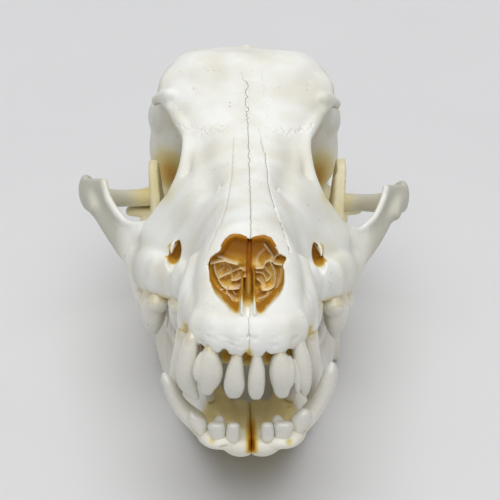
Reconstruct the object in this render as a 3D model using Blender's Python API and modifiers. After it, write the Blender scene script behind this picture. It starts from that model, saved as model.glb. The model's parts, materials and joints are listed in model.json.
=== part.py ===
"""A young adult dog's skull at life size, its jaw a little open, resting on the lower jaw.

Every shape is laid out in the skull's own frame, in millimetres: x to the side, u back from the front
edge of the upper jaw, h up from the plane of the upper tooth sockets. A station is (u, x, h).
Two empties then tip the cranium and the lower jaw to the angles at which they rest.
"""

import math

import bmesh
import bpy
import numpy as np
from mathutils import Matrix, Vector

MM = 0.001
CRANIUM_TILT = 15.0
CRANIUM_ROLL = 1.5
ROLL_HEIGHT = 26.0
JAW_OPENING = 4.5
JAW_SHIFT = 0.1
JAW_HINGE = (149.0, 9.0)
FLAT_DEPTH = 0.7
GAP = 0.3
VOXEL = 1.0
CRANIUM_TRIANGLES = 4200
JAW_TRIANGLES = 800
SIDES = {"right": 1, "left": -1}

# Heights of the face and forehead along the midline, by distance back from the front teeth.
TOP_LINE = {1: 5, 4: 9, 8: 13.5, 14: 21, 20: 28, 30: 30, 45: 32, 60: 34.4, 75: 38, 88: 43, 97: 47.2,
            108: 54.5, 118: 61.6, 126: 66, 134: 67.8, 144: 67.4}
# Half width of the pair of nasal bones along their outer seams.
NASAL_HALF = {10: 11.5, 20: 11, 30: 8.3, 45: 6.2, 70: 4.8, 92: 3.2, 98: 2.2}

# Each loft: u: (top, base, half width at the top, half width at the base, flare of the side).
SNOUT = {
    1: (5, -1.2, 7, 8, 1),
    4: (9, -1.6, 10, 12, 1),
    8: (13.5, -1.2, 12.4, 15, 1),
    14: (21, -0.5, 12.5, 16.6, 1),
    20: (28, 0, 12, 17.4, 1),
    30: (30, 0, 11.5, 17, 1),
    42: (31.5, 0, 11.5, 17.4, 1.2),
    52: (33, 0, 11.5, 21.5, 1.2),
    60: (34.6, 0, 12, 27.5, 1.1),
    68: (36.2, -0.5, 12.6, 33, 1),
    75: (38, 0, 14, 38, 1),
    82: (40.2, 3, 15.5, 42, 1),
}
FOREHEAD = {
    78: (38.6, 22, 17, 17, 1),
    88: (42.8, 30, 18, 17, 1),
    97: (47, 33, 19.5, 16, 1),
    106: (53, 37, 22, 18, 1),
    114: (59.4, 42, 26, 23, 1),
    121: (64.4, 44, 28.5, 29, 1),
    128: (66.8, 42, 28.5, 28, 1),
    136: (67.4, 42, 28, 26, 1),
    146: (67, 44, 26, 24, 1),
}
FOREHEAD_DOME = {"centre": (129, 12, 53.4), "radii": (20, 16.5, 15.4)}
ORBIT_WALL = {
    74: (34, 3, 16, 20, 1),
    84: (38, 4, 15, 16, 1),
    97: (44, 6, 13, 12, 1),
    112: (52, 10, 13.5, 10.5, 1),
    126: (58, 12, 18, 13, 1),
    140: (60, 12, 25, 18, 1),
}
SKULL_FLOOR = {
    90: (20, 6, 11, 10, 1),
    104: (22, 11, 11, 9, 1),
    122: (24, 12.5, 14, 11, 1),
    142: (26, 13, 24, 20, 1),
    160: (28, 13, 28, 22, 1),
    176: (26, 14.5, 24, 13, 1),
    185: (24, 16, 12, 9, 1),
}
BRAINCASE = {
    114: (56, 28, 15, 14, 1),
    124: (64, 21, 21, 20, 1),
    134: (66.6, 16, 26, 31, 1.5),
    144: (67, 12.5, 28.5, 39, 2),
    156: (66.4, 12.5, 30, 38, 2),
    168: (64.4, 14, 28, 33, 1.4),
    178: (61.4, 15, 20, 28, 1),
    185: (58, 18, 10, 20, 1),
}
NAPE = {
    160: (64, 16, 18, 30, 1),
    170: (63, 15, 12, 31, 1),
    180: (60.5, 15, 8, 29.5, 1),
    186: (58.6, 16, 6, 25, 1),
    190: (57.5, 26, 5, 14, 1),
}

# Swept bars: (u, x, h, half width, half height).
ARCH = (
    (72, 25, 12, 5, 10),
    (79.5, 31.4, 10, 5, 10),
    (87, 37.8, 11.4, 4.4, 6.8),
    (95, 43.8, 15.8, 3.6, 5.6),
    (105, 49.6, 20.8, 2.9, 5.8),
    (115, 52.6, 21.8, 2.7, 5.6),
    (127, 52.4, 21.4, 2.5, 5),
    (139, 47.6, 18.6, 2.8, 4.6),
    (146, 41, 16.6, 4, 3.6),
    (150, 33, 17, 6, 4),
    (151, 25, 20, 7, 6),
)
ARCH_HORN = ((101, 47, 19, 3.4, 3.2), (103.5, 48.8, 23.6, 3.7, 2.8), (105, 49.6, 27.6, 3.9, 2.4))
ORBIT_RIM = (
    (117, 25.5, 50.6, 3, 2.6),
    (108, 21.4, 46.6, 2.4, 2.4),
    (98, 18.6, 42, 2.2, 2.2),
    (88, 19, 34.4, 2.2, 2.2),
    (82.4, 21.6, 27.6, 2.2, 2.2),
    (82, 26, 21, 2.2, 2.2),
    (85.6, 32, 17, 2.2, 2.2),
    (90, 37.4, 16.4, 2.1, 2.1),
    (96, 42.4, 19.6, 2, 2),
    (101, 45.6, 24.4, 2, 2),
)
BROW_HORN = ((116, 23, 53, 5, 3), (120, 28.5, 51, 2.6, 1.8), (121.5, 30.3, 49.6, 1.3, 1.1))
TOOTH_BANK = (
    (11, 11.6, 4.6, 3.4, 4.6),
    (18, 14.4, 6, 3.6, 6),
    (28, 14.8, 6, 3, 6),
    (42, 15.6, 5.6, 3, 5.6),
    (54, 19.2, 6, 3.4, 6),
    (64, 24.6, 6, 4.2, 6),
    (74, 28.8, 6, 5, 6),
    (84, 27.5, 6.4, 6, 6),
    (93, 25, 6.6, 5.2, 5.4),
    (100, 23, 7, 3.6, 4.4),
)
INCISOR_BANK = (
    (10, -12.8, 4, 3.2, 4.6),
    (5.4, -9.8, 3.6, 3, 5),
    (3, -4.8, 3.4, 3, 5.2),
    (2.4, 0, 3.4, 3, 5.2),
    (3, 4.8, 3.4, 3, 5.2),
    (5.4, 9.8, 3.6, 3, 5),
    (10, 12.8, 4, 3.2, 4.6),
)
CANINE_RIDGE = ((20, 15, 1, 3.8, 4.4), (24, 15, 9, 3.4, 4), (31, 13.6, 17, 2.6, 3))
PTERYGOID = ((96, 11, 8, 1.6, 6), (108, 10.4, 8.5, 1.2, 7), (120, 10, 9.5, 1, 6), (127, 10.4, 7.5, 0.9, 4))
JAW_SOCKET_LIP = ((156.5, 28.5, 12, 2, 4), (157, 34, 11.4, 2, 4), (156, 40, 13.6, 1.8, 3))
EAR_BULB = {"centre": (161, 16, 10.5), "radii": (10.5, 8.2, 8.2)}
NECK_KNOB = {"centre": (186, 8.6, 19.5), "radii": (6.6, 6.4, 8.2)}
NECK_SPUR = ((171, 22, 20, 4, 4), (174, 21.5, 11, 2.6, 3), (175.5, 20.5, 4, 1.4, 1.6))
NAPE_CREST = ((191.5, 0, 56.5, 1.5, 2.6), (189.5, 8, 54.5, 1.5, 2.6), (185, 17, 47, 1.6, 2.6),
              (181, 24, 37, 1.6, 2.6), (175, 29, 25, 2, 2.6), (170, 29, 16, 2.4, 2.6))
CROWN_RIDGE = ((148, 0, 66.8, 1.4, 1.4), (165, 0, 65, 1.3, 2), (180, 0, 60.5, 1.4, 3), (192, 0, 56.5, 1.6, 3))

# Hollows. The opening of the nose as half widths by height, and the heights of its midline notches.
NOSE_OPENING = {7: 2.6, 9: 6, 12.4: 9.2, 15.5: 10.5, 18.3: 10.9, 21.5: 10.3, 24.2: 8.6, 25.6: 6, 26.3: 3.4}
NOSE_MIDDLE = (8.6, 25)
# The nose further back, by distance from the front teeth: floor, roof, share of the opening's width.
NOSE_DEPTH = {
    -8: (7, 26.3, 1),
    12: (7, 26.3, 1),
    22: (7, 26.6, 0.99),
    35: (7.4, 28.4, 0.93),
    47: (8.4, 30, 0.82),
}
PALATE_VAULT = {
    10: (2.2, -9, 8, 9, 1),
    24: (3.6, -9, 10, 11, 1),
    45: (4.6, -9, 10.5, 12.5, 1),
    65: (5.4, -9, 15, 19, 1),
    85: (5.4, -9, 16, 20, 1),
    99: (5, -9, 15, 18, 1),
}
THROAT = {88: (14, 6.2, 7, 7, 1), 104: (16, -6, 8.2, 8.2, 1), 130: (12, -6, 9, 9, 1)}
CHEEK_CANAL = ((50, 27, 8, 2, 3.4), (61, 23, 9.4, 1.6, 3), (72, 20.6, 13, 1.6, 2.8), (90, 21, 18.4, 2, 3))
SPINE_HOLE = {"centre": (182, 0, 27.5), "radii": (16, 8.2, 7.8)}

# Where the bones part. The arch parts from the face at this distance from the midline, the others along
# side-view lines of (u, h), each with a point (u, x, h) near the middle of the bone that it frees.
ARCH_SEAM = 36.0
ARCH_MIDDLE = (115, 50, 20)
SEAMS = (
    ("premaxilla", ((12.4, -20), (12.4, 2), (24, 14), (38, 27), (38, 60)), (8, 0, 8)),
    ("occipital", ((176, -20), (176, 36), (182, 62), (182, 90)), (186, 0, 36)),
    ("maxilla", ((101, -20), (101, 12), (97, 30), (97, 90)), (60, 0, 12)),
    ("skull_base", ((90, 21), (120, 21), (150, 21), (190, 21)), (140, 0, 12)),
    ("frontal", ((138, 10), (138, 40), (142, 90)), (115, 0, 50)),
)
NASAL_FRONT, NASAL_BACK, NASAL_DEPTH = 8.0, 98.0, 3.2
EAR_BULB_SPACE = {"u": (147, 170.5), "x": (7.6, 26), "h": (-6, 13.5)}

# Lower jaw, right half, drawn with the jaw shut.
JAW_BODY = (
    (3.6, 6.4, -15.4, 4.2, 2.4),
    (8, 8, -16.4, 5.9, 4.4),
    (14, 8.6, -18, 6.6, 6.6),
    (25, 8.4, -19.8, 6.2, 8.6),
    (38, 10.8, -21.2, 5.4, 10.4),
    (52, 14.4, -22, 4.6, 11.2),
    (68, 18.2, -22.6, 4.7, 11.8),
    (86, 22, -22.2, 4.4, 12.6),
    (102, 25.6, -19, 3.8, 11.8),
    (114, 27.8, -15.6, 3, 11.4),
)
JAW_FRONT_BLOCK = (
    (5, 4, -16.2, 6, 2.6),
    (12, 4, -18.4, 7, 5.6),
    (24, 3.8, -20.8, 7, 7.4),
    (36, 3.6, -22.2, 6, 6.6),
)
JAW_SYMPHYSIS = 2.0
# The upright branch: its side outline as (u, h), and its distance from the midline at two heights.
JAW_BRANCH = (
    (98, -12), (106, 6), (113, 24), (119, 32.5), (126, 34), (131, 30), (134, 20), (140, 10.5), (149, 9),
    (151, 5), (147, -4), (146, -13), (149, -19), (146, -22.3), (138, -22.7), (128, -24), (116, -27),
    (104, -29),
)
JAW_BRANCH_X = {-30: 28.6, 30: 29.6}
JAW_BRANCH_HALF = 1.6
JAW_FRONT_EDGE = (
    (100, 26.6, -14, 3, 3.4),
    (107, 28, 4, 2.2, 3.4),
    (114, 28.8, 20, 1.8, 3),
    (120, 29.4, 30, 1.6, 2.6),
)
JAW_KNOB = ((149, 26.5, 7.2, 3.2, 3), (149, 33, 7.8, 4, 3.6), (149, 41, 8.2, 3, 3))
JAW_NECK = ((138, 29.6, -4, 3, 4), (144, 30.6, 4, 3.6, 4), (148, 31.6, 8, 5, 3))
JAW_HEEL = (
    (124, 28.6, -19, 2.6, 5),
    (136, 29, -20.3, 2.8, 3.6),
    (146, 28.2, -20.9, 2.4, 2.9),
    (151, 27.2, -19.7, 1.4, 1.8),
)

# Teeth: u, x, h at the neck, crown height, length along the row, width across it, lean of the tip (u, x).
# The upper front teeth stand a little to the left of the seam between their bones.
INCISOR_SHIFT = -0.5
UPPER_INCISORS = (
    (2.4, 3.0, -1.4, 12.0, 5.0, 5.4, 1.2, 0.1),
    (3.8, 9.1, -0.6, 13.0, 6.6, 6.0, 1.0, 0.8),
    (7.6, 14.4, 0.6, 14.0, 6.8, 6.4, 0.0, 1.2),
)
UPPER_CANINE = (21.5, 16.6, 1.0, 22.0, 10.5, 6.2, -1.5, 4.8)
UPPER_PREMOLARS = ((29.5, 15.6, 1, 5, 5, 3.4), (39.5, 16.4, 1, 7, 9.5, 4.2), (52.5, 19.8, 1, 8.5, 11.5, 5))
UPPER_CARNASSIAL = (69, 27.8, 1.4, 12.0, 18.5, 7.4)
UPPER_MOLARS = ((84.5, 26.6, 1.6, 5.6, 10.5, 13.5), (94.5, 25, 2.4, 3.8, 6.6, 9.5))
LOWER_INCISORS = (
    (4.2, 4.5, -13.8, 4.8, 3.8, 4.4, -1.4, 0.0),
    (5.6, 8.7, -13.4, 5.8, 5.0, 4.8, -1.4, 0.2),
    (8.2, 13.0, -12.4, 6.2, 5.2, 5.2, -1.0, 0.8),
)
LOWER_CANINE = (12.4, 14.4, -11, 15.4, 9.0, 7.2, -5.0, 8.2)
LOWER_PREMOLARS = (
    (25, 11.4, -11.2, 4, 4.4, 3.2),
    (34.5, 12.4, -11.2, 5.6, 8, 4),
    (45, 14.6, -11.4, 7, 9.6, 4.4),
    (57, 17, -11.4, 8.4, 11, 5),
)
LOWER_CARNASSIAL = (77.5, 21, -11.2, 11.0, 20.5, 6.6)
LOWER_MOLARS = ((93, 23.8, -9.6, 4.4, 8.4, 6), (100.5, 25.2, -8.6, 2.8, 4.4, 4))

# Cusps of the cheek teeth: place along the row, height and length as shares of the tooth's own.
PREMOLAR_CUSPS = ((0.02, 1.0, 0.78), (0.3, 0.45, 0.42), (-0.3, 0.35, 0.42))
UPPER_CARNASSIAL_CUSPS = ((-0.08, 1.0, 0.6), (0.3, 0.66, 0.46), (-0.36, 0.36, 0.34))
LOWER_CARNASSIAL_CUSPS = ((-0.3, 0.72, 0.42), (0.0, 1.0, 0.46), (0.34, 0.46, 0.38))
MOLAR_CUSPS = ((-0.2, 1.0, 0.62), (0.22, 0.9, 0.6))
ROOT_DEPTH = 4.0
CUSP_SIDES = 7
SIDE_CUSP_SIDES = 5
# Levels of a crown: place from neck to tip, with the root below it, and girth.
CROWN_LEVELS = ((-1, 0.72), (0.05, 0.98), (0.4, 0.9), (0.72, 0.56), (0.95, 0.18))

# Thin bones inside the nose. The scrolls are lines of (x, h), the wall a side-view outline of (u, h).
TURBINATE_DEPTH = (17.5, 31)
TURBINATE_STEM = ((9, 15.5), (8, 15.2), (6, 15.4), (4.4, 16.6), (3, 18.6))
TURBINATE_LEAVES = (
    ((8.2, 15), (8.2, 18), (8.4, 21), (7.6, 23)),
    ((6.2, 15.2), (6.2, 18), (6.4, 20.6), (5.4, 23.4), (3.6, 24)),
    ((7.2, 15.4), (7.2, 12.8), (6, 11.2)),
    ((5, 16.2), (4.4, 13.4), (3.2, 11.4)),
)
TURBINATE_HALF = 0.42
SEPTUM = ((11, 9.4), (26, 9.4), (42, 10.4), (44.5, 12), (44.5, 26.6), (34, 26), (24, 24), (19, 16))
SEPTUM_HALF = 0.6

COLOURS = {
    "bone": (0.80, 0.79, 0.75),
    "bone_thin": (0.62, 0.47, 0.26),
    "jaw": (0.76, 0.74, 0.66),
}


def clear_scene():
    for obj in list(bpy.data.objects):
        bpy.data.objects.remove(obj)


def new_collection(name):
    collection = bpy.data.collections.new(name)
    bpy.context.scene.collection.children.link(collection)
    return collection


def along(table, u):
    """Smooth values at u through a table of stations: {u: value or tuple}."""
    stations = np.array(sorted(table), float)
    values = np.array([np.atleast_1d(table[s]) for s in sorted(table)], float)
    slopes = np.gradient(values, stations, axis=0)
    u = float(np.clip(u, stations[0], stations[-1]))
    i = int(np.clip(np.searchsorted(stations, u) - 1, 0, len(stations) - 2))
    width = stations[i + 1] - stations[i]
    t = (u - stations[i]) / width
    blend = t * t * (3 - 2 * t)
    straight = values[i] * (1 - blend) + values[i + 1] * blend
    return straight + width * t * (1 - t) * ((1 - t) * slopes[i] - t * slopes[i + 1])


def mesh_object(name, points, faces, collection):
    """A closed mesh from points given as (u, x, h) in millimetres."""
    mesh = bpy.data.meshes.new(name)
    mesh.from_pydata([(x * MM, u * MM, h * MM) for u, x, h in points], [], faces)
    bm = bmesh.new()
    bm.from_mesh(mesh)
    bmesh.ops.recalc_face_normals(bm, faces=bm.faces)
    bm.to_mesh(mesh)
    bm.free()
    obj = bpy.data.objects.new(name, mesh)
    collection.objects.link(obj)
    return obj


def skin(name, rings, collection):
    """A closed body over rings of equal count, with a fan on each end."""
    count = len(rings[0])
    points = [p for ring in rings for p in ring]
    faces = []
    for r in range(len(rings) - 1):
        for i in range(count):
            j = (i + 1) % count
            faces.append((r * count + i, r * count + j, (r + 1) * count + j, (r + 1) * count + i))
    for ring in (0, len(rings) - 1):
        points.append(tuple(np.mean(rings[ring], axis=0)))
        hub = len(points) - 1
        faces.extend((ring * count + i, ring * count + (i + 1) % count, hub) for i in range(count))
    return mesh_object(name, points, faces, collection)


def loft(name, table, collection, step=3.0, square=2.7, count=40, grow=0.0):
    """Rounded sections across the midline, whose sides flare from the top half width to the base one."""
    first, last = min(table), max(table)
    rings = []
    for u in np.linspace(first, last, int((last - first) / step) + 2):
        top, base, top_half, base_half, flare = along(table, u)
        middle, half = (top + base) / 2, (top - base) / 2 + grow
        ring = []
        for i in range(count):
            angle = math.tau * i / count
            rise = math.copysign(abs(math.sin(angle)) ** (2 / square), math.sin(angle))
            reach = math.copysign(abs(math.cos(angle)) ** (2 / square), math.cos(angle))
            drop = (1 - rise) / 2
            width = top_half + (base_half - top_half) * drop**flare + grow
            ring.append((u, reach * width, middle + rise * half))
        rings.append(ring)
    return skin(name, rings, collection)


def sweep(name, stations, collection, up=(0, 0, 1), mirror=1, count=14, steps=5):
    """A bar of oval section along stations (u, x, h, half width, half height), with rounded ends.

    The mirror is 1 on the right, -1 on the left.
    """
    table = {i: s for i, s in enumerate(stations)}
    last = len(stations) - 1
    values = np.array([along(table, t) for t in np.linspace(0, last, last * steps + 1)])
    path = values[:, :3]
    tangents = np.gradient(path, axis=0)
    tangents /= np.linalg.norm(tangents, axis=1, keepdims=True)
    side = np.cross(tangents, np.array(up, float))
    side /= np.linalg.norm(side, axis=1, keepdims=True)
    rise = np.cross(side, tangents)
    rings = []
    ends = ((0, -0.8, 0.35), (0, -0.5, 0.75)), ((-1, 0.5, 0.75), (-1, 0.8, 0.35))

    def ring(i, shift, scale):
        wide, tall = values[i, 3] * scale, values[i, 4] * scale
        centre = path[i] + tangents[i] * shift * min(values[i, 3], values[i, 4])
        angles = [math.tau * k / count for k in range(count)]
        return [tuple(centre + side[i] * wide * math.cos(a) + rise[i] * tall * math.sin(a)) for a in angles]

    rings.extend(ring(*end) for end in ends[0])
    rings.extend(ring(i, 0, 1) for i in range(len(values)))
    rings.extend(ring(*end) for end in ends[1])
    rings = [[(u, x * mirror, h) for u, x, h in r] for r in rings]
    return skin(name, rings, collection)


def ball(name, centre, radii, collection, mirror=1):
    """A sphere stretched to radii along u, x and h."""
    mesh = bpy.data.meshes.new(name)
    bm = bmesh.new()
    place = Matrix.Translation(Vector((centre[1] * mirror, centre[0], centre[2])) * MM)
    stretch = Matrix.Diagonal((radii[1] * MM, radii[0] * MM, radii[2] * MM, 1))
    bmesh.ops.create_uvsphere(bm, u_segments=32, v_segments=20, radius=1, matrix=place @ stretch)
    bm.to_mesh(mesh)
    bm.free()
    obj = bpy.data.objects.new(name, mesh)
    collection.objects.link(obj)
    return obj


def plate(name, outline, x_of_h, half, collection, mirror=1):
    """A plate with a side-view outline of (u, h) points, x_of_h giving its middle at each height."""
    points = [(u, (x_of_h(h) + s * half) * mirror, h) for s in (-1, 1) for u, h in outline]
    count = len(outline)
    faces = [tuple(range(count)), tuple(range(2 * count - 1, count - 1, -1))]
    faces += [(i, i + count, (i + 1) % count + count, (i + 1) % count) for i in range(count)]
    return mesh_object(name, points, faces, collection)


def evaluated_mesh(obj):
    graph = bpy.context.evaluated_depsgraph_get()
    return bpy.data.meshes.new_from_object(obj.evaluated_get(graph))


def apply_modifiers(obj):
    obj.data = evaluated_mesh(obj)
    obj.modifiers.clear()


def join(name, pieces, collection):
    """One object from the meshes of several, which are removed."""
    bm = bmesh.new()
    for piece in pieces:
        bm.from_mesh(piece.data)
        bpy.data.objects.remove(piece)
    mesh = bpy.data.meshes.new(name)
    bm.to_mesh(mesh)
    bm.free()
    obj = bpy.data.objects.new(name, mesh)
    collection.objects.link(obj)
    return obj


def melt(obj, voxel, smoothing):
    """Fuse the overlapping bodies of an object into one surface and soften its creases."""
    remesh = obj.modifiers.new("fuse", "REMESH")
    remesh.mode = "VOXEL"
    remesh.voxel_size = voxel * MM
    soften = obj.modifiers.new("soften", "SMOOTH")
    soften.factor = 0.5
    soften.iterations = smoothing
    apply_modifiers(obj)


def boolean(obj, other, operation, solver="EXACT"):
    """Cut obj by another object, or join it with the objects of a collection, and remove those."""
    change = obj.modifiers.new(operation, "BOOLEAN")
    change.operation = operation
    change.solver = solver
    if operation != "UNION":
        other.hide_render = True
        other.display_type = "WIRE"
    if isinstance(other, bpy.types.Collection):
        change.operand_type = "COLLECTION"
        change.collection = other
    else:
        change.object = other
    apply_modifiers(obj)


def remove(*objects):
    for obj in objects:
        bpy.data.objects.remove(obj)


def islands(mesh):
    """The separate closed surfaces of a mesh, as lists of face indices, largest volume first."""
    bm = bmesh.new()
    bm.from_mesh(mesh)
    bm.faces.ensure_lookup_table()
    seen, found = set(), []
    for start in bm.faces:
        if start.index in seen:
            continue
        seen.add(start.index)
        stack, group, volume = [start], [], 0.0
        while stack:
            face = stack.pop()
            group.append(face.index)
            corners = [loop.vert.co for loop in face.loops]
            for a, b in zip(corners[1:], corners[2:]):
                volume += corners[0].dot(a.cross(b))
            for edge in face.edges:
                for other in edge.link_faces:
                    if other.index not in seen:
                        seen.add(other.index)
                        stack.append(other)
        found.append((volume, group))
    bm.free()
    return sorted(found, key=lambda item: -item[0])


def keep_island(obj, rank=0):
    """Keep one closed surface of a mesh, by rank of its volume."""
    keep = set(islands(obj.data)[rank][1])
    bm = bmesh.new()
    bm.from_mesh(obj.data)
    bmesh.ops.delete(bm, geom=[f for f in bm.faces if f.index not in keep], context="FACES")
    mesh = bpy.data.meshes.new(obj.name)
    bm.to_mesh(mesh)
    bm.free()
    obj.data = mesh


def duplicate(obj, name, collection):
    other = bpy.data.objects.new(name, obj.data.copy())
    collection.objects.link(other)
    return other


def box(name, low, high, collection):
    """A box between two corners (u, x, h)."""
    mesh = bpy.data.meshes.new(name)
    bm = bmesh.new()
    low, high = np.array(low, float), np.array(high, float)
    middle, size = (low + high) / 2, high - low
    place = Matrix.Translation(Vector((middle[1], middle[0], middle[2])) * MM)
    stretch = Matrix.Diagonal((size[1] * MM, size[0] * MM, size[2] * MM, 1))
    bmesh.ops.create_cube(bm, size=1, matrix=place @ stretch)
    bm.to_mesh(mesh)
    bm.free()
    obj = bpy.data.objects.new(name, mesh)
    collection.objects.link(obj)
    return obj


def kerf(name, line, collection, reach=80.0):
    """A thin wall across the skull along a side-view line of (u, h) points."""
    line = np.array(line, float)
    steps = np.gradient(line, axis=0)
    across = np.stack([-steps[:, 1], steps[:, 0]], axis=1)
    across /= np.linalg.norm(across, axis=1, keepdims=True)
    outline = np.concatenate([line + across * GAP / 2, (line - across * GAP / 2)[::-1]])
    return plate(name, [tuple(p) for p in outline], lambda h: 0.0, reach, collection)


def split(obj, cutter, name, collection, near):
    """Part obj by a thin wall. The piece whose middle is nearest to (u, x, h) becomes a new object."""
    boolean(obj, cutter, "DIFFERENCE")
    remove(cutter)
    groups = [group for volume, group in islands(obj.data)[:4] if volume > 0]
    centres = []
    for group in groups:
        corners = [obj.data.vertices[v].co for f in group for v in obj.data.polygons[f].vertices]
        centres.append(sum(corners, Vector()) / len(corners) / MM)
    target = Vector((near[1], near[0], near[2]))
    picked = min(range(len(centres)), key=lambda i: (centres[i] - target).length)
    other = duplicate(obj, name, collection)
    keep_island(other, picked)
    rest = next(i for i, c in enumerate(centres) if i != picked)
    keep_island(obj, rest)
    return other


def crown(name, neck, tip, bend, length, width, along_row, collection, count=CUSP_SIDES):
    """One tooth cone: an oval neck, its root sunk into the bone, a slight belly and a blunt tip."""
    neck, tip, bend = (np.array(p, float) for p in (neck, tip, bend))
    row = np.array(along_row, float)
    row /= np.linalg.norm(row)
    axis = (tip - neck) / np.linalg.norm(tip - neck)
    across = np.cross(axis, row)
    across /= np.linalg.norm(across)
    rings = []
    for t, scale in CROWN_LEVELS if count > SIDE_CUSP_SIDES else CROWN_LEVELS[::2]:
        if t < 0:
            centre = neck - axis * ROOT_DEPTH
        else:
            centre = (1 - t) ** 2 * neck + 2 * t * (1 - t) * bend + t * t * tip
        ring = []
        for i in range(count):
            angle = math.tau * (i + 0.5) / count
            offset = row * math.cos(angle) * length / 2 + across * math.sin(angle) * width / 2
            ring.append(tuple(centre + offset * scale))
        rings.append(ring)
    return skin(name, rings, collection)


def peg(name, size, jaw, side, row, collection):
    """An incisor or a canine: a single bent cone. jaw is -1 for crowns that point down, 1 for up."""
    u, x, h, height, length, width, lean_u, lean_x = size
    neck = np.array((u, x * side, h))
    tip = neck + (lean_u, lean_x * side, jaw * height)
    bend = neck + (lean_u * -0.1, lean_x * side * 0.35, jaw * height * 0.55)
    return crown(name, neck, tip, bend, length, width, row, collection)


def blade(name, size, jaw, side, row, cusps, collection):
    """A cheek tooth: cones along the row. cusps gives (place along, height, share of the length)."""
    u, x, h, height, length, width = size
    row = np.array(row, float) / np.linalg.norm(row)
    cones = []
    for place, tall, share in cusps:
        neck = np.array((u, x * side, h)) + row * place * length
        tip = neck + (0, 0, jaw * height * tall)
        count = CUSP_SIDES if tall > 0.7 else SIDE_CUSP_SIDES
        bend = (neck + tip) / 2
        cones.append(crown(name, neck, tip, bend, length * share, width, row, collection, count))
    return cones




def upper_teeth(side, collection):
    """(front teeth, teeth behind the seam of the front bone) of one side."""
    front = []
    rows = ((0.15, 1, 0), (0.3, 1, 0), (0.75, 1, 0))
    for i, (size, row) in enumerate(zip(UPPER_INCISORS, rows)):
        tooth = peg(f"incisor_{i}", size, -1, side, (row[0], row[1] * side, 0), collection)
        tooth.data.transform(Matrix.Translation((INCISOR_SHIFT * MM, 0, 0)))
        front.append(tooth)
    back = [peg("canine", UPPER_CANINE, -1, side, (1, 0.1 * side, 0), collection)]
    for i, size in enumerate(UPPER_PREMOLARS):
        back += blade(f"premolar_{i}", size, -1, side, (1, 0.15 * side, 0), PREMOLAR_CUSPS, collection)
    row = (1, 0.32 * side, 0)
    back += blade("carnassial", UPPER_CARNASSIAL, -1, side, row, UPPER_CARNASSIAL_CUSPS, collection)
    for i, size in enumerate(UPPER_MOLARS):
        back += blade(f"molar_{i}", size, -1, side, (1, -0.25 * side, 0), MOLAR_CUSPS, collection)
    return front, back


def lower_teeth(side, collection):
    teeth = []
    rows = ((0.1, 1, 0), (0.3, 1, 0), (0.7, 1, 0))
    for i, (size, row) in enumerate(zip(LOWER_INCISORS, rows)):
        teeth.append(peg(f"incisor_{i}", size, 1, side, (row[0], row[1] * side, 0), collection))
    row = (1, 0.2 * side, 0)
    teeth.append(peg("canine", LOWER_CANINE, 1, side, row, collection))
    for i, size in enumerate(LOWER_PREMOLARS):
        teeth += blade(f"premolar_{i}", size, 1, side, row, PREMOLAR_CUSPS, collection)
    teeth += blade("carnassial", LOWER_CARNASSIAL, 1, side, row, LOWER_CARNASSIAL_CUSPS, collection)
    for i, size in enumerate(LOWER_MOLARS):
        teeth += blade(f"molar_{i}", size, 1, side, row, MOLAR_CUSPS, collection)
    return teeth


def nose_cavity(collection):
    """The hollow of the nose: its heart-shaped opening carried back, rising and closing in."""
    low, high = min(NOSE_OPENING), max(NOSE_OPENING)
    heights = sorted(NOSE_OPENING)
    side = [(NOSE_OPENING[h], h) for h in heights]
    outline = [(0, NOSE_MIDDLE[0])] + side + [(0, NOSE_MIDDLE[1])] + [(-x, h) for x, h in reversed(side)]
    rings = []
    for u in range(min(NOSE_DEPTH), max(NOSE_DEPTH) + 1, 3):
        floor, roof, width = along(NOSE_DEPTH, u)
        stretch = (roof - floor) / (high - low)
        rings.append([(u, x * width, floor + (h - low) * stretch) for x, h in outline])
    return skin("nose_cavity", rings, collection)


def cranium_mass(collection):
    """The whole cranium as one surface, its hollows cut."""
    pieces = [
        loft("snout", SNOUT, collection),
        loft("forehead", FOREHEAD, collection, square=2.4),
        loft("orbit_wall", ORBIT_WALL, collection),
        loft("skull_floor", SKULL_FLOOR, collection),
        loft("braincase", BRAINCASE, collection, square=2.3),
        loft("nape", NAPE, collection, square=2.2),
        sweep("incisor_bank", INCISOR_BANK, collection),
        sweep("crown_ridge", CROWN_RIDGE, collection),
    ]
    for side in SIDES.values():
        for name, bar in (("arch", ARCH), ("orbit_rim", ORBIT_RIM), ("brow_horn", BROW_HORN),
                          ("tooth_bank", TOOTH_BANK), ("pterygoid", PTERYGOID),
                          ("jaw_socket_lip", JAW_SOCKET_LIP)):
            pieces.append(sweep(name, bar, collection, mirror=side))
        for name, bar in (("canine_ridge", CANINE_RIDGE), ("arch_horn", ARCH_HORN), ("neck_spur", NECK_SPUR),
                          ("nape_crest", NAPE_CREST)):
            pieces.append(sweep(name, bar, collection, up=(1, 0, 0), mirror=side))
        lumps = (("forehead_dome", FOREHEAD_DOME), ("ear_bulb", EAR_BULB), ("neck_knob", NECK_KNOB))
        for name, lump in lumps:
            pieces.append(ball(name, lump["centre"], lump["radii"], collection, mirror=side))
    mass = join("cranium_mass", pieces, collection)
    melt(mass, VOXEL, 5)
    cutters = [
        nose_cavity(collection),
        loft("palate_vault", PALATE_VAULT, collection),
        loft("throat", THROAT, collection),
        ball("spine_hole", SPINE_HOLE["centre"], SPINE_HOLE["radii"], collection),
    ]
    for side in SIDES.values():
        cutters.append(sweep("cheek_canal", CHEEK_CANAL, collection, mirror=side))
    for cutter in cutters:
        boolean(mass, cutter, "DIFFERENCE", solver="MANIFOLD")
        remove(cutter)
    melt(mass, VOXEL, 2)
    keep_island(mass)
    thin = mass.modifiers.new("thin", "DECIMATE")
    thin.ratio = CRANIUM_TRIANGLES / sum(len(p.vertices) - 2 for p in mass.data.polygons)
    apply_modifiers(mass)
    return mass


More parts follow.
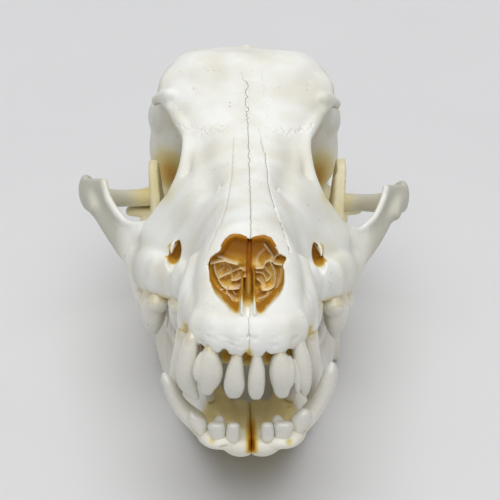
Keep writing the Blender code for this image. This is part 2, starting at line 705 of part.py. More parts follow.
def nasal_block(name, grow, collection):
    """The space of the two nasal bones, from their front tips to the root of the nose."""
    table = {}
    for u in np.linspace(NASAL_FRONT - grow, NASAL_BACK + grow, 19):
        half = float(along(NASAL_HALF, u)[0])
        under = float(along(TOP_LINE, u)[0]) - NASAL_DEPTH
        table[u] = (90, under, half, half, 1)
    return loft(name, table, collection, square=8, grow=grow)


def part_cranium(mass, collection, cutters):
    """Part the cranium into its bones with thin cuts."""
    nodes = {}
    for name, side in SIDES.items():
        inner, outer = sorted((ARCH_SEAM * side, (ARCH_SEAM + GAP) * side))
        wall = box("wall", (60, inner, -12), (170, outer, 45), cutters)
        near = (ARCH_MIDDLE[0], ARCH_MIDDLE[1] * side, ARCH_MIDDLE[2])
        nodes[f"zygomatic_arch_{name}"] = split(mass, wall, f"zygomatic_arch_{name}", collection, near)
    block = nasal_block("nasal_block", 0, cutters)
    nasals = duplicate(mass, "nasal_bones", collection)
    boolean(nasals, block, "INTERSECT")
    keep_island(nasals)
    nodes["nasal_bones"] = nasals
    wider = nasal_block("nasal_block_wide", GAP, cutters)
    boolean(mass, wider, "DIFFERENCE")
    keep_island(mass)
    remove(block, wider)
    for name, line, near in SEAMS:
        nodes[name] = split(mass, kerf("wall", line, cutters), name, collection, near)
    mass.name = "braincase"
    nodes["braincase"] = mass
    for name, side in SIDES.items():
        inner, outer = sorted(x * side for x in EAR_BULB_SPACE["x"])
        low = (EAR_BULB_SPACE["u"][0], inner, EAR_BULB_SPACE["h"][0])
        high = (EAR_BULB_SPACE["u"][1], outer, EAR_BULB_SPACE["h"][1])
        bulla = duplicate(nodes["skull_base"], f"tympanic_bulla_{name}", collection)
        space = box("space", low, high, cutters)
        boolean(bulla, space, "INTERSECT")
        keep_island(bulla)
        nodes[bulla.name] = bulla
        wide = box("wide", np.array(low) - GAP, np.array(high) + GAP, cutters)
        boolean(nodes["skull_base"], wide, "DIFFERENCE")
        remove(space, wide)
    keep_island(nodes["skull_base"])
    return nodes


def fuse_teeth(bone, teeth):
    """Join a bone and its teeth into one closed body."""
    boolean(bone, teeth, "UNION")
    remove(*list(teeth.objects))
    keep_island(bone)


def mandible(name, side, collection, scratch):
    """One half of the lower jaw, drawn shut, with its flats where it rests."""

    def branch_x(h):
        return float(along(JAW_BRANCH_X, h)[0])

    pieces = [
        sweep("jaw_body", JAW_BODY, scratch, mirror=side),
        sweep("jaw_front_block", JAW_FRONT_BLOCK, scratch, mirror=side),
        plate("jaw_branch", JAW_BRANCH, branch_x, JAW_BRANCH_HALF, scratch, mirror=side),
        sweep("jaw_neck", JAW_NECK, scratch, mirror=side),
        sweep("jaw_heel", JAW_HEEL, scratch, mirror=side),
        sweep("jaw_front_edge", JAW_FRONT_EDGE, scratch, up=(1, 0, 0), mirror=side),
        sweep("jaw_knob", JAW_KNOB, scratch, mirror=side),
    ]
    half = join(name, pieces, collection)
    melt(half, VOXEL * 0.8, 4)
    edge = JAW_SYMPHYSIS * side
    beyond = -20 * side
    inner = box("inner", (-10, min(edge, beyond), -60), (60, max(edge, beyond), 20), scratch)
    boolean(half, inner, "DIFFERENCE", solver="MANIFOLD")
    remove(inner)
    keep_island(half)
    thin = half.modifiers.new("thin", "DECIMATE")
    thin.ratio = JAW_TRIANGLES / sum(len(p.vertices) - 2 for p in half.data.polygons)
    apply_modifiers(half)
    return half


def ribbon(name, line, half, depth, side, collection):
    """A thin leaf of bone: a line of (x, h) points carried back along the nose."""
    outline = np.array(line, float)
    steps = np.gradient(outline, axis=0)
    across = np.stack([-steps[:, 1], steps[:, 0]], axis=1)
    across /= np.linalg.norm(across, axis=1, keepdims=True)
    rim = np.concatenate([outline + across * half, (outline - across * half)[::-1]])
    count = len(rim)
    points = [(u, x * side, h) for u in depth for x, h in rim]
    faces = [tuple(range(count)), tuple(range(2 * count - 1, count - 1, -1))]
    faces += [(i, i + count, (i + 1) % count + count, (i + 1) % count) for i in range(count)]
    return mesh_object(name, points, faces, collection)


def turbinate(name, side, collection):
    """The scrolled bone inside one half of the nose: a stem with curled leaves."""
    body = ribbon(name, TURBINATE_STEM, TURBINATE_HALF, TURBINATE_DEPTH, side, collection)
    front, back = TURBINATE_DEPTH
    for i, line in enumerate(TURBINATE_LEAVES):
        leaf = ribbon("leaf", line, TURBINATE_HALF * 0.95, (front + 1 + i, back - 1 - i), side, collection)
        boolean(body, leaf, "UNION")
        remove(leaf)
    keep_island(body)
    return body


def septum(collection):
    """The wall between the two halves of the nose, with the ridge of the vomer at its foot."""
    return plate("nasal_septum", SEPTUM, lambda h: 0.0, SEPTUM_HALF, collection)


def finish(obj, colour):
    material = bpy.data.materials.new(obj.name)
    material.use_nodes = True
    shader = material.node_tree.nodes["Principled BSDF"]
    shader.inputs["Base Color"].default_value = (*COLOURS[colour], 1)
    shader.inputs["Roughness"].default_value = 0.45
    shader.inputs["Metallic"].default_value = 0
    obj.data.materials.clear()
    obj.data.materials.append(material)
    obj.data.shade_smooth()
    obj.data.set_sharp_from_angle(angle=math.radians(40))


def jaw_matrix():
    """The lower jaw's place in the skull frame: turned open about its hinge."""
    hinge = Vector((0, JAW_HINGE[0], JAW_HINGE[1])) * MM
    turn = Matrix.Rotation(math.radians(JAW_OPENING), 4, "X")
    return Matrix.Translation(hinge) @ turn @ Matrix.Translation(-hinge)


def centre(nodes, tilts):
    """Slide the empties sideways so that the whole skull stands centred over the origin."""
    bpy.context.view_layer.update()
    corners = np.array([node.matrix_world @ v.co for node in nodes for v in node.data.vertices])
    middle = (corners.min(axis=0) + corners.max(axis=0)) / 2
    for tilt in tilts:
        tilt.matrix_world = Matrix.Translation((-middle[0], -middle[1], 0)) @ tilt.matrix_world
    bpy.context.view_layer.update()


def main():
    clear_scene()
    parts = new_collection("dog_skull")
    cutters = new_collection("cutters")
    scratch = new_collection("scratch")
    mass = cranium_mass(scratch)
    scratch.objects.unlink(mass)
    parts.objects.link(mass)
    nodes = part_cranium(mass, parts, cutters)
    front_teeth, back_teeth = new_collection("front_teeth"), new_collection("back_teeth")
    for side in SIDES.values():
        front, back = upper_teeth(side, scratch)
        for group, teeth in ((front_teeth, front), (back_teeth, back)):
            for tooth in teeth:
                scratch.objects.unlink(tooth)
                group.objects.link(tooth)
    fuse_teeth(nodes["premaxilla"], front_teeth)
    fuse_teeth(nodes["maxilla"], back_teeth)
    jaws = {}
    for name, side in SIDES.items():
        jaw = mandible(f"mandible_{name}", side, parts, scratch)
        group = new_collection(f"lower_teeth_{name}")
        for tooth in lower_teeth(side, scratch):
            scratch.objects.unlink(tooth)
            group.objects.link(tooth)
        fuse_teeth(jaw, group)
        jaws[jaw.name] = jaw
        nodes[f"turbinate_{name}"] = turbinate(f"turbinate_{name}", side, parts)
    nodes["nasal_septum"] = septum(parts)

    cranium = bpy.data.objects.new("cranium_tilt", None)
    lower_jaw = bpy.data.objects.new("lower_jaw_tilt", None)
    parts.objects.link(cranium)
    parts.objects.link(lower_jaw)
    tilt = Matrix.Rotation(math.radians(-CRANIUM_TILT), 4, "X")
    low = min((tilt @ jaw_matrix() @ v.co).z for jaw in jaws.values() for v in jaw.data.vertices)
    lift = -low - FLAT_DEPTH * MM
    place = Matrix.Translation((0, 0, lift)) @ tilt
    axis = Matrix.Translation((0, 0, ROLL_HEIGHT * MM))
    roll = Matrix.Rotation(math.radians(CRANIUM_ROLL), 4, "Y")
    cranium.matrix_world = place @ axis @ roll @ axis.inverted()
    lower_jaw.matrix_world = place @ Matrix.Translation((JAW_SHIFT * MM, 0, 0)) @ jaw_matrix()
    bpy.context.view_layer.update()
    floor = box("floor", (-300, -300, -200), (500, 300, 0), cutters)
    floor.matrix_world = lower_jaw.matrix_world.inverted()
    for jaw in jaws.values():
        boolean(jaw, floor, "DIFFERENCE")
        keep_island(jaw)
    remove(floor)
    for node in nodes.values():
        node.parent = cranium
        finish(node, "bone_thin" if "turbinate" in node.name or "septum" in node.name else "bone")
    for jaw in jaws.values():
        jaw.parent = lower_jaw
        finish(jaw, "jaw")
    centre(list(nodes.values()) + list(jaws.values()), (cranium, lower_jaw))


main()
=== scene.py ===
# %% [markdown]
# # A dog's skull, bone by bone
#
# This lesson models a young adult dog's skull at life size: a cranium that rests on its two loose lower jaw
# halves, whitened and dry, as it stands in a collection. The imported model gives the frame: every solid keeps
# its place and its size, and each piece made here lies over one or more of them with a finer surface.
# The first lines open that frame.

# %% Open the imported model
import json
import math
from contextlib import contextmanager

import bpy
import numpy as np
from mathutils import Matrix, Vector

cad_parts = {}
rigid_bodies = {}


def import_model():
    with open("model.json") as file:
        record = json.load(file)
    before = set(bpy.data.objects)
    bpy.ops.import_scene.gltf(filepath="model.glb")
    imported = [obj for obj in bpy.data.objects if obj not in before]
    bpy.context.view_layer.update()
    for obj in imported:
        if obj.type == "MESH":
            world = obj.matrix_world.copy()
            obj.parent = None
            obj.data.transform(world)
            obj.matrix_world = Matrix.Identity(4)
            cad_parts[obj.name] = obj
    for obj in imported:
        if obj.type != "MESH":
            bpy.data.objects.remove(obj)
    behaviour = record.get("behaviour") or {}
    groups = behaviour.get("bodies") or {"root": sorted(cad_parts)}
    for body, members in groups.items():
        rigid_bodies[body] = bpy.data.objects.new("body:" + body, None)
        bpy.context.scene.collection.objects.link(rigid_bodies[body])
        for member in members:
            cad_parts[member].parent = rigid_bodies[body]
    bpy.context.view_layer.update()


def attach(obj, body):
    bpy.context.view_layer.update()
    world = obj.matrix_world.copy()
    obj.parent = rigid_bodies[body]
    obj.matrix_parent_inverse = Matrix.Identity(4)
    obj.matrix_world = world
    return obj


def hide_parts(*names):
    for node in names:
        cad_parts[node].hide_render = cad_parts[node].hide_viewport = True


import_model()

# %% [markdown]
# ## Two frames: the cranium and the lower jaw
#
# A skull is easiest to lay out as anatomists draw it, level and straight. So every shape below is drawn in the
# skull's own frame in millimetres: u back from the front teeth, x to the side, h up from the tooth sockets.
# Two placements then tip the finished pieces to the angles at which they rest, the cranium rolled by a degree
# or two as it leans on the jaw, and the lower jaw turned a little open about its hinge.

# %% Where the skull rests
MM = 0.001
STAND = Vector((0.203, -99.009, 60.731)) * MM
ROLL_AXIS = Matrix.Translation((0, 0, 26 * MM))
HINGE = Matrix.Translation(Vector((0, 149, 9)) * MM)

TIPPED = Matrix.Translation(STAND) @ Matrix.Rotation(math.radians(-15), 4, "X")
CRANIUM = TIPPED @ ROLL_AXIS @ Matrix.Rotation(math.radians(1.5), 4, "Y") @ ROLL_AXIS.inverted()
JAW_OPEN = HINGE @ Matrix.Rotation(math.radians(4.5), 4, "X") @ HINGE.inverted()
LOWER_JAW = TIPPED @ Matrix.Translation((0.1 * MM, 0, 0)) @ JAW_OPEN
print("front teeth at", [round(v * 1000, 1) for v in CRANIUM @ Vector((0, 0, 0))], "mm")

# %% [markdown]
# ## The camera
#
# A long lens seen from a little above the teeth makes the snout fill the view while the braincase rises behind
# it. The lens, the distance and the two angles were fitted to the outline, the eye sockets and the teeth.

# %% Place the camera
VIEW_TARGET = Vector((0, 15, 23.5)) * MM
VIEW_DISTANCE = 0.412
VIEW_RISE = math.radians(11.5)
VIEW_YAW = math.radians(0.9)

heading = Vector((math.sin(VIEW_YAW) * math.cos(VIEW_RISE), math.cos(VIEW_YAW) * math.cos(VIEW_RISE),
                  -math.sin(VIEW_RISE)))
lens = bpy.data.cameras.new("view")
lens.lens = 112.68
lens.sensor_width = 36
view = bpy.data.objects.new("view", lens)
bpy.context.scene.collection.objects.link(view)
view.location = TIPPED @ (VIEW_TARGET - heading * VIEW_DISTANCE)
view.rotation_euler = (TIPPED @ VIEW_TARGET - view.location).to_track_quat("-Z", "Y").to_euler()
bpy.context.scene.camera = view
print("camera at", [round(v, 3) for v in view.location])

# %% [markdown]
# ## Hand tools
#
# Bones are lofts, bars and knobs that run into each other. One tool rolls a flat grid round a row of rings,
# welds the seam and fills both ends, as a sheet is rolled round a former: that gives any closed bar or block.
# The rings come from short tables of stations, read smoothly, so that a few named sizes carry a whole bone.

# %% Read a table smoothly
def along(table, places):
    """Smooth values at each place through a table of stations {place: value or tuple}."""
    stations = np.array(sorted(table), float)
    values = np.array([np.atleast_1d(table[s]) for s in sorted(table)], float)
    slopes = np.gradient(values, stations, axis=0)
    places = np.clip(np.atleast_1d(np.asarray(places, float)), stations[0], stations[-1])
    i = np.clip(np.searchsorted(stations, places) - 1, 0, len(stations) - 2)
    width = (stations[i + 1] - stations[i])[:, None]
    t = (places - stations[i])[:, None] / width
    blend = t * t * (3 - 2 * t)
    straight = values[i] * (1 - blend) + values[i + 1] * blend
    return straight + width * t * (1 - t) * ((1 - t) * slopes[i] - t * slopes[i + 1])


# %% Pick up pieces and work on them
def deselect():
    if bpy.context.object and bpy.context.object.mode != "OBJECT":
        bpy.ops.object.mode_set(mode="OBJECT")
    bpy.ops.object.select_all(action="DESELECT")


def pick(first, *others):
    """Select these pieces alone, the first one active."""
    deselect()
    for piece in (first, *others):
        piece.select_set(True)
    bpy.context.view_layer.objects.active = first


@contextmanager
def editing():
    """Edit mode on the active piece, with all of it selected."""
    bpy.ops.object.mode_set(mode="EDIT")
    bpy.ops.mesh.select_all(action="SELECT")
    yield
    bpy.ops.object.mode_set(mode="OBJECT")


# %% Roll a grid into a closed tube
def tube(name, rings):
    """A closed body over rings of (u, x, h) points: a grid rolled round them, welded and filled."""
    rings = np.asarray(rings, float)
    rolled = np.concatenate([rings, rings[:, :1]], axis=1)[:, :, [1, 0, 2]] * MM
    deselect()
    bpy.ops.mesh.primitive_grid_add(x_subdivisions=rings.shape[1], y_subdivisions=rings.shape[0] - 1, size=1)
    piece = bpy.context.object
    piece.name = name
    piece.data.vertices.foreach_set("co", rolled.ravel())
    with editing():
        bpy.ops.mesh.remove_doubles(threshold=0.001 * MM)
        bpy.ops.mesh.fill_holes(sides=0)
        bpy.ops.mesh.normals_make_consistent(inside=False)
    return piece


# %% Blocks, bars, plates and knobs
def rounded(square, count):
    """Shares of the half width and half height round a section, from an oval (square 2) to a soft box."""
    angle = np.linspace(0, math.tau, count, endpoint=False)
    return [np.sign(part) * np.abs(part) ** (2 / square) for part in (np.cos(angle), np.sin(angle))]


def block(name, table, square=2.7, step=2.0):
    """Rounded sections {u: (top, base, half width at top, half width at base, flare)} across the midline."""
    places = np.linspace(min(table), max(table), int((max(table) - min(table)) / step) + 2)
    top, base, top_half, base_half, flare = along(table, places).T[:, :, None]
    reach, rise = rounded(square, 56)
    width = top_half + (base_half - top_half) * ((1 - rise) / 2) ** flare
    height = (top + base) / 2 + rise * (top - base) / 2
    return tube(name, np.stack([places[:, None] + 0 * rise, reach * width, height], axis=2))


def bar(name, stations, side=1, up=(0, 0, 1), count=18, steps=6):
    """A bar of oval section along stations (u, x, h, half width, half height), with rounded ends."""
    table = dict(enumerate(stations))
    values = along(table, np.linspace(0, len(stations) - 1, (len(stations) - 1) * steps + 1))
    path = values[:, :3]
    run = np.gradient(path, axis=0)
    run /= np.linalg.norm(run, axis=1, keepdims=True)
    across = np.cross(run, np.array(up, float))
    across /= np.linalg.norm(across, axis=1, keepdims=True)
    rise = np.cross(across, run)
    # Two smaller rings beyond each end round it off: (ring, shift along the bar, scale).
    levels = [(0, -0.8, 0.35), (0, -0.5, 0.75), *((i, 0, 1) for i in range(len(values))), (-1, 0.5, 0.75),
              (-1, 0.8, 0.35)]
    angle = np.linspace(0, math.tau, count, endpoint=False)[:, None]
    rings = []
    for i, shift, scale in levels:
        middle = path[i] + run[i] * shift * min(values[i, 3:5])
        ring = middle + across[i] * values[i, 3] * scale * np.cos(angle)
        ring = ring + rise[i] * values[i, 4] * scale * np.sin(angle)
        rings.append(ring * (1, side, 1))
    return tube(name, rings)


def plate(name, stations, side=1):
    """A flat plate through stations (ridge point, outer edge point, thickness), its face between the two lines."""
    table = {i: (*ridge, *outer, thick) for i, (ridge, outer, thick) in enumerate(stations)}
    values = along(table, np.linspace(0, len(stations) - 1, (len(stations) - 1) * 5 + 1))
    ridge, outer, thick = values[:, :3], values[:, 3:6], values[:, 6:]
    # The wrapping rounds both edges off, so the plate is drawn a seventh wider, and a little outwards.
    middle, half = ridge * 0.46 + outer * 0.54, (outer - ridge) * 0.57
    run = np.gradient(middle, axis=0)
    face = np.cross(run, half)
    face *= -np.sign(face[:, :1]) / np.linalg.norm(face, axis=1, keepdims=True)
    wide, deep = rounded(3.4, 32)
    last = len(values) - 1
    rings = []
    for i, shift, scale in [(0, -0.5, 0.5), *((i, 0, 1) for i in range(last + 1)), (last, 0.5, 0.55)]:
        ring = middle[i] - face[i] * thick[i] / 2 + wide[:, None] * scale * half[i]
        ring = ring + deep[:, None] * scale * face[i] * thick[i] / 2
        rings.append((ring + shift * run[i]) * (1, side, 1))
    return tube(name, rings)


def knob(name, centre, radii, side=1):
    """A sphere at (u, x, h), stretched to its radii along the three."""
    deselect()
    bpy.ops.mesh.primitive_uv_sphere_add(segments=36, ring_count=24, radius=1)
    piece = bpy.context.object
    piece.name = name
    piece.location = Vector((centre[1] * side, centre[0], centre[2])) * MM
    piece.scale = Vector((radii[1], radii[0], radii[2])) * MM
    bpy.ops.object.transform_apply(location=True, rotation=True, scale=True)
    return piece


# %% Fuse, cut and thin
def apply_all(piece):
    pick(piece)
    for change in list(piece.modifiers):
        bpy.ops.object.modifier_apply(modifier=change.name)
    return piece


def count_triangles(piece):
    return sum(len(face.vertices) - 2 for face in piece.data.polygons)


def remesh(piece, voxel, soften):
    """Wrap a surface in even voxels of a size in millimetres, and soften what they leave."""
    wrap = piece.modifiers.new("wrap", "REMESH")
    wrap.mode = "VOXEL"
    wrap.voxel_size = voxel * MM
    smooth = piece.modifiers.new("soften", "SMOOTH")
    smooth.factor = 0.5
    smooth.iterations = soften
    return apply_all(piece)


def fuse(name, pieces, voxel, soften):
    """Join overlapping bodies into one surface."""
    pick(*pieces)
    bpy.ops.object.join()
    whole = bpy.context.object
    whole.name = whole.data.name = name
    return remesh(whole, voxel, soften)


def cut(piece, cutter):
    """Take a closed cutter away from a piece."""
    change = piece.modifiers.new("cut", "BOOLEAN")
    change.operation = "DIFFERENCE"
    change.solver = "MANIFOLD"
    change.object = cutter
    apply_all(piece)
    bpy.data.objects.remove(cutter)
    return piece


def thin(piece, triangles):
    """Take triangles out where the surface is plain, down to a number."""
    now = count_triangles(piece)
    if now > triangles:
        change = piece.modifiers.new("thin", "DECIMATE")
        change.ratio = triangles / now
        apply_all(piece)
    return piece


def largest(piece):
    """Keep the largest closed surface of a piece, and drop crumbs left by a cut."""
    pick(piece)
    before = set(bpy.data.objects)
    bpy.ops.mesh.separate(type="LOOSE")
    crumbs = [o for o in bpy.data.objects if o not in before] + [piece]
    keep = max(crumbs, key=lambda o: len(o.data.vertices))
    for crumb in crumbs:
        if crumb is not keep:
            bpy.data.objects.remove(crumb)
    keep.name = keep.data.name
    return keep


# %% [markdown]
# ## The masses of the cranium
#
# From in front the snout is a wide, straight-sided wedge under a narrow roof. Behind the eye sockets the
# forehead swells into two low domes over the sinuses, and the braincase hangs behind it like an egg. The
# tables give each mass as sections along the skull. All are joined and wrapped in one skin, because in a
# grown skull the bones run into each other and only fine lines part them.

# %% Sizes of the cranium
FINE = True
VOXEL = 0.62 if FINE else 1.0

SNOUT = {
    1: (5, -1.2, 7, 8, 1), 4: (9, -1.6, 10, 12, 1), 8: (13.5, -1.2, 12.4, 15, 1), 14: (21, -0.5, 12.5, 16.6, 1),
    20: (28, 0, 12, 17.4, 1), 30: (30, 0, 11.5, 17, 1), 42: (31.5, 0, 11.5, 17.4, 1.2), 52: (33, 0, 11.5, 21.5, 1.2),
    60: (34.6, 0, 12, 27.5, 1.1), 68: (36.2, -0.5, 12.6, 33, 1), 75: (38, 0, 14, 38, 1),
    82: (40.2, 3, 15.5, 42, 1),
}
FOREHEAD = {
    78: (38.6, 22, 17, 17, 1), 88: (42.8, 30, 18, 17, 1), 97: (47, 33, 19.5, 16, 1), 106: (53, 37, 22, 18, 1),
    114: (59.4, 42, 26, 23, 1), 121: (64.4, 44, 28.5, 29, 1), 128: (66.8, 42, 28.5, 28, 1),
    136: (67.4, 42, 28, 26, 1), 146: (67, 44, 26, 24, 1),
}
FOREHEAD_DOME = ((132, 12, 52.2), (20.5, 17.5, 15.2))
ORBIT_WALL = {
    74: (34, 3, 16, 20, 1), 84: (38, 4, 15, 16, 1), 97: (44, 6, 13, 12, 1), 112: (52, 10, 13.5, 10.5, 1),
    126: (58, 12, 18, 13, 1), 140: (60, 12, 25, 18, 1),
}
SKULL_FLOOR = {
    90: (20, 6, 11, 10, 1), 104: (22, 11, 11, 9, 1), 122: (24, 12.5, 14, 11, 1), 142: (26, 13, 24, 20, 1),
    160: (28, 13, 28, 22, 1), 176: (26, 14.5, 24, 13, 1), 185: (24, 16, 12, 9, 1),
}
BRAINCASE = {
    114: (56, 28, 15, 14, 1), 124: (64, 21, 21, 20, 1), 134: (66.6, 16, 26, 31, 1.5), 144: (67, 12.5, 28.5, 39, 2),
    156: (66.4, 12.5, 30, 38, 2), 168: (64.4, 14, 28, 33, 1.4), 178: (61.4, 15, 20, 28, 1),
    185: (58, 18, 10, 20, 1),
}
NAPE = {
    160: (64, 16, 18, 30, 1), 170: (63, 15, 12, 31, 1), 180: (60.5, 15, 8, 29.5, 1), 186: (58.6, 16, 6, 25, 1),
    190: (57.5, 26, 5, 14, 1),
}

# %% Bars along the cranium: (u, x, h, half width, half height)
ARCH = (
    (103, 48.2, 18.2, 1.6, 2.6), (109, 50.2, 20.6, 1.6, 3.4), (116, 51.8, 21.2, 2.1, 5), (127, 52.4, 20.4, 2.3, 5),
    (137, 48.8, 16.2, 2.6, 3.8), (146, 41, 14.4, 4, 3), (150, 33, 14.4, 6, 3.2), (151, 25, 17, 7, 5),
)
# The cheekbone before the eye, on each side: (ridge under the eye, outer lower edge, thickness).
CHEEKBONE = {
    1: (((80, 24, 21), (75, 29, -1), 8), ((82, 26.5, 22), (80, 33.1, -1.4), 7),
        ((83.5, 29.1, 20.4), (82, 36.1, 3.6), 5.4),
        ((86.5, 32.9, 17.4), (85, 37.7, 6), 4.2), ((89.5, 36.3, 16.3), (88.5, 39.9, 8), 3.4),
        ((91, 38.5, 17.3), (94, 42.9, 10.3), 3), ((93.5, 40.8, 18.5), (99.5, 45.5, 13), 2.8),
        ((96, 42.3, 20), (105, 48.1, 16), 2.7), ((98.5, 43.6, 21.9), (109.5, 50.7, 17.5), 2.6),
        ((100.5, 44.5, 24.1), (111.5, 52.3, 20.1), 2.5), ((102, 45, 26.4), (111.5, 52.4, 23.8), 2.4),
        ((102.5, 45, 27.6), (111, 51.8, 26.5), 2.3)),
    -1: (((80, 24, 20), (75, 29, -2), 8), ((82, 28.8, 20.7), (80, 34.2, -3.1), 7),
         ((83.5, 30.6, 18.5), (82, 36.2, 2.7), 5.4),
         ((86.5, 34.8, 16.9), (85, 37.7, 5.5), 4.2), ((89.5, 38.1, 17.2), (88.5, 39.8, 6.9), 3.4),
         ((91, 39.6, 18.5), (94, 43, 9.9), 3), ((93.5, 41.2, 20.2), (99.5, 46, 12.9), 2.8),
         ((96, 42.6, 21.6), (105, 49, 16), 2.7), ((98.5, 43.8, 23.4), (109.5, 52, 17.5), 2.6),
         ((100.5, 44.6, 25.3), (111.5, 53.3, 21), 2.5), ((102, 45, 27), (111.5, 53.1, 24.3), 2.4),
         ((102.5, 45, 28), (111, 52.8, 26.4), 2.3)),
}
ORBIT_RIM = (
    (117, 25.5, 50.6, 3, 2.6), (108, 21.4, 46.6, 2.4, 2.4), (98, 18.6, 42, 2.2, 2.2),
    (88, 19, 34.4, 2.2, 2.2), (82.4, 21.6, 27.6, 2.2, 2.2), (82.6, 25.4, 21.6, 2, 2),
)
BROW_HORN = ((116, 23, 53, 5, 3), (120, 28, 51.2, 2.8, 2.2), (121.5, 29.6, 49.4, 2, 1.9))
TOOTH_BANK = (
    (11, 11.6, 4.6, 3.4, 4.6), (18, 14.4, 6, 3.6, 6), (28, 14.8, 6, 3, 6), (42, 15.6, 5.6, 3, 5.6),
    (54, 19.2, 6, 3.4, 6), (64, 24.8, 5.2, 4.4, 6.6), (74, 28.8, 4.6, 5, 7), (84, 27.5, 5.6, 6, 6.6),
    (93, 25, 6.6, 5.2, 5.4), (100, 23, 7, 3.6, 4.4),
)
INCISOR_BANK = (
    (10, -12.8, 4, 3.2, 4.6), (5.4, -9.8, 3.6, 3, 5), (3, -4.8, 3.4, 3, 5.2), (2.4, 0, 3.4, 3, 5.2),
    (3, 4.8, 3.4, 3, 5.2), (5.4, 9.8, 3.6, 3, 5), (10, 12.8, 4, 3.2, 4.6),
)
INNER_BANK = ((11, -10.5, -1, 2.4, 3.6), (9, -6, -2.4, 2.2, 3.6), (8.4, 0, -2.8, 2.2, 3.6), (9, 6, -2.4, 2.2, 3.6),
              (11, 10.5, -1, 2.4, 3.6))
CANINE_RIDGE = ((20, 15, 1, 3.8, 4.4), (24, 15, 9, 3.4, 4), (31, 13.6, 17, 2.6, 3))
PTERYGOID = ((96, 11, 8, 1.6, 6), (108, 10.4, 8.5, 1.2, 7), (120, 10, 9.5, 1, 6), (127, 10.4, 7.5, 0.9, 4))
JAW_SOCKET_LIP = ((156.5, 28.5, 12, 2, 4), (157, 34, 11.4, 2, 4), (156, 40, 13.6, 1.8, 3))
EAR_BULB = ((161, 16, 10.5), (10.5, 8.2, 8.2))
NECK_KNOB = ((186, 8.6, 19.5), (6.6, 6.4, 8.2))
TEMPLE_SWELL = ((136, 26, 44, 5, 7), (148, 27, 43, 6.2, 8), (160, 27, 40, 6, 9))
NECK_SPUR = ((171, 22, 20, 4, 4), (174, 21.5, 11, 2.6, 3), (175.5, 20.5, 4, 1.4, 1.6))
NAPE_CREST = ((191.5, 0, 56.5, 1.5, 2.6), (189.5, 8, 54.5, 1.5, 2.6), (185, 17, 47, 1.6, 2.6),
              (181, 24, 37, 1.6, 2.6), (175, 29, 25, 2, 2.6), (170, 29, 16, 2.4, 2.6))
CROWN_RIDGE = ((148, 0, 66.8, 1.4, 1.4), (165, 0, 65, 1.3, 2), (180, 0, 60.5, 1.4, 3), (192, 0, 56.5, 1.6, 3))

# %% Join the masses
masses = [
    block("snout", SNOUT), block("forehead", FOREHEAD, square=2.4), block("orbit_wall", ORBIT_WALL),
    block("skull_floor", SKULL_FLOOR), block("braincase_mass", BRAINCASE, square=2.3),
    block("nape", NAPE, square=2.2), bar("incisor_bank", INCISOR_BANK), bar("inner_bank", INNER_BANK),
    bar("crown_ridge", CROWN_RIDGE),
]
for side in (1, -1):
    for stations in (ARCH, ORBIT_RIM, BROW_HORN, TEMPLE_SWELL, TOOTH_BANK, PTERYGOID, JAW_SOCKET_LIP):
        masses.append(bar("bar", stations, side))
    for stations in (CANINE_RIDGE, NECK_SPUR, NAPE_CREST):
        masses.append(bar("bar", stations, side, up=(1, 0, 0)))
    masses.append(plate("cheekbone", CHEEKBONE[side], side))
    for lump in (FOREHEAD_DOME, EAR_BULB, NECK_KNOB):
        masses.append(knob("knob", *lump, side))
cranium = fuse("cranium", masses, VOXEL, 8 if FINE else 4)
print("cranium mass:", count_triangles(cranium), "triangles")

# %% [markdown]
# ## The hollows
#
# The nose opens to the front in a heart shape with two narrow gutters at its foot, one on each side of the
# thin spine of bone. It was drawn from its rim, point by point, because the eye goes there first. Behind the
# nose the mouth side of the palate is vaulted, a throat runs back over it, a canal passes through each cheek,
# and the spine enters at the back.

# %% Sizes of the hollows
NOSE_RIM = (
    (0.1, 25.6), (-2.6, 26.5), (-3.9, 26.7), (-5.2, 26.2), (-6.2, 25.4), (-7.1, 24.0), (-7.6, 22.8),
    (-8.9, 21.8), (-10.2, 20.9), (-10.7, 19.5), (-10.6, 17.9), (-10.3, 15.9), (-9.5, 14.0), (-8.7, 12.7),
    (-7.1, 11.3), (-5.9, 10.5), (-5.0, 9.4), (-3.7, 8.5), (-2.4, 8.5), (-2.2, 9.7), (-2.1, 11.0), (1.5, 11.1),
    (1.6, 9.8), (1.7, 8.6), (3.5, 8.5), (3.8, 9.0), (4.9, 10.2), (6.2, 11.3), (8.0, 13.0), (8.8, 14.3),
    (9.1, 15.9), (9.1, 18.1), (8.8, 19.5), (10.2, 21.4), (8.0, 21.9), (7.2, 23.0), (6.7, 24.0), (5.4, 25.9),
    (3.5, 26.4), (1.7, 26.1),
)
NOSE_DEPTH = {-8: (0, 1), 12: (0, 1), 22: (0.1, 0.99), 35: (0.9, 0.93), 47: (1.9, 0.82)}
PALATE_VAULT = {
    10: (2.2, -9, 8, 9, 1), 24: (3.6, -9, 10, 11, 1), 45: (4.6, -9, 10.5, 12.5, 1), 65: (5.4, -9, 15, 19, 1),
    85: (5.4, -9, 16, 20, 1), 99: (5, -9, 15, 18, 1),
}
THROAT = {88: (14, 6.2, 7, 7, 1), 104: (16, -6, 8.2, 8.2, 1), 130: (12, -6, 9, 9, 1)}
CHEEK_CANAL = ((47, 23.6, 11.4, 2.2, 4), (54, 21.6, 12.4, 1.9, 3.6), (60, 21, 13, 1.8, 3.4), (65, 20.6, 13.8, 1.6, 2.8))
CANAL_RIDGE = ((59.4, 22, 13.8, 0.8, 1.5), (63, 21.5, 14.8, 1.1, 1.6), (68, 20.8, 15, 1.1, 1.8))
SPINE_HOLE = ((182, 0, 27.5), (16, 8.2, 7.8))
SPINE_GUTTER = ((1.5, -0.4, 7.6, 0.35, 0.9), (5, -0.4, 9.6, 0.8, 1), (9, -0.4, 12.2, 1.1, 1.6),
                (14, -0.2, 13.4, 1.2, 2))
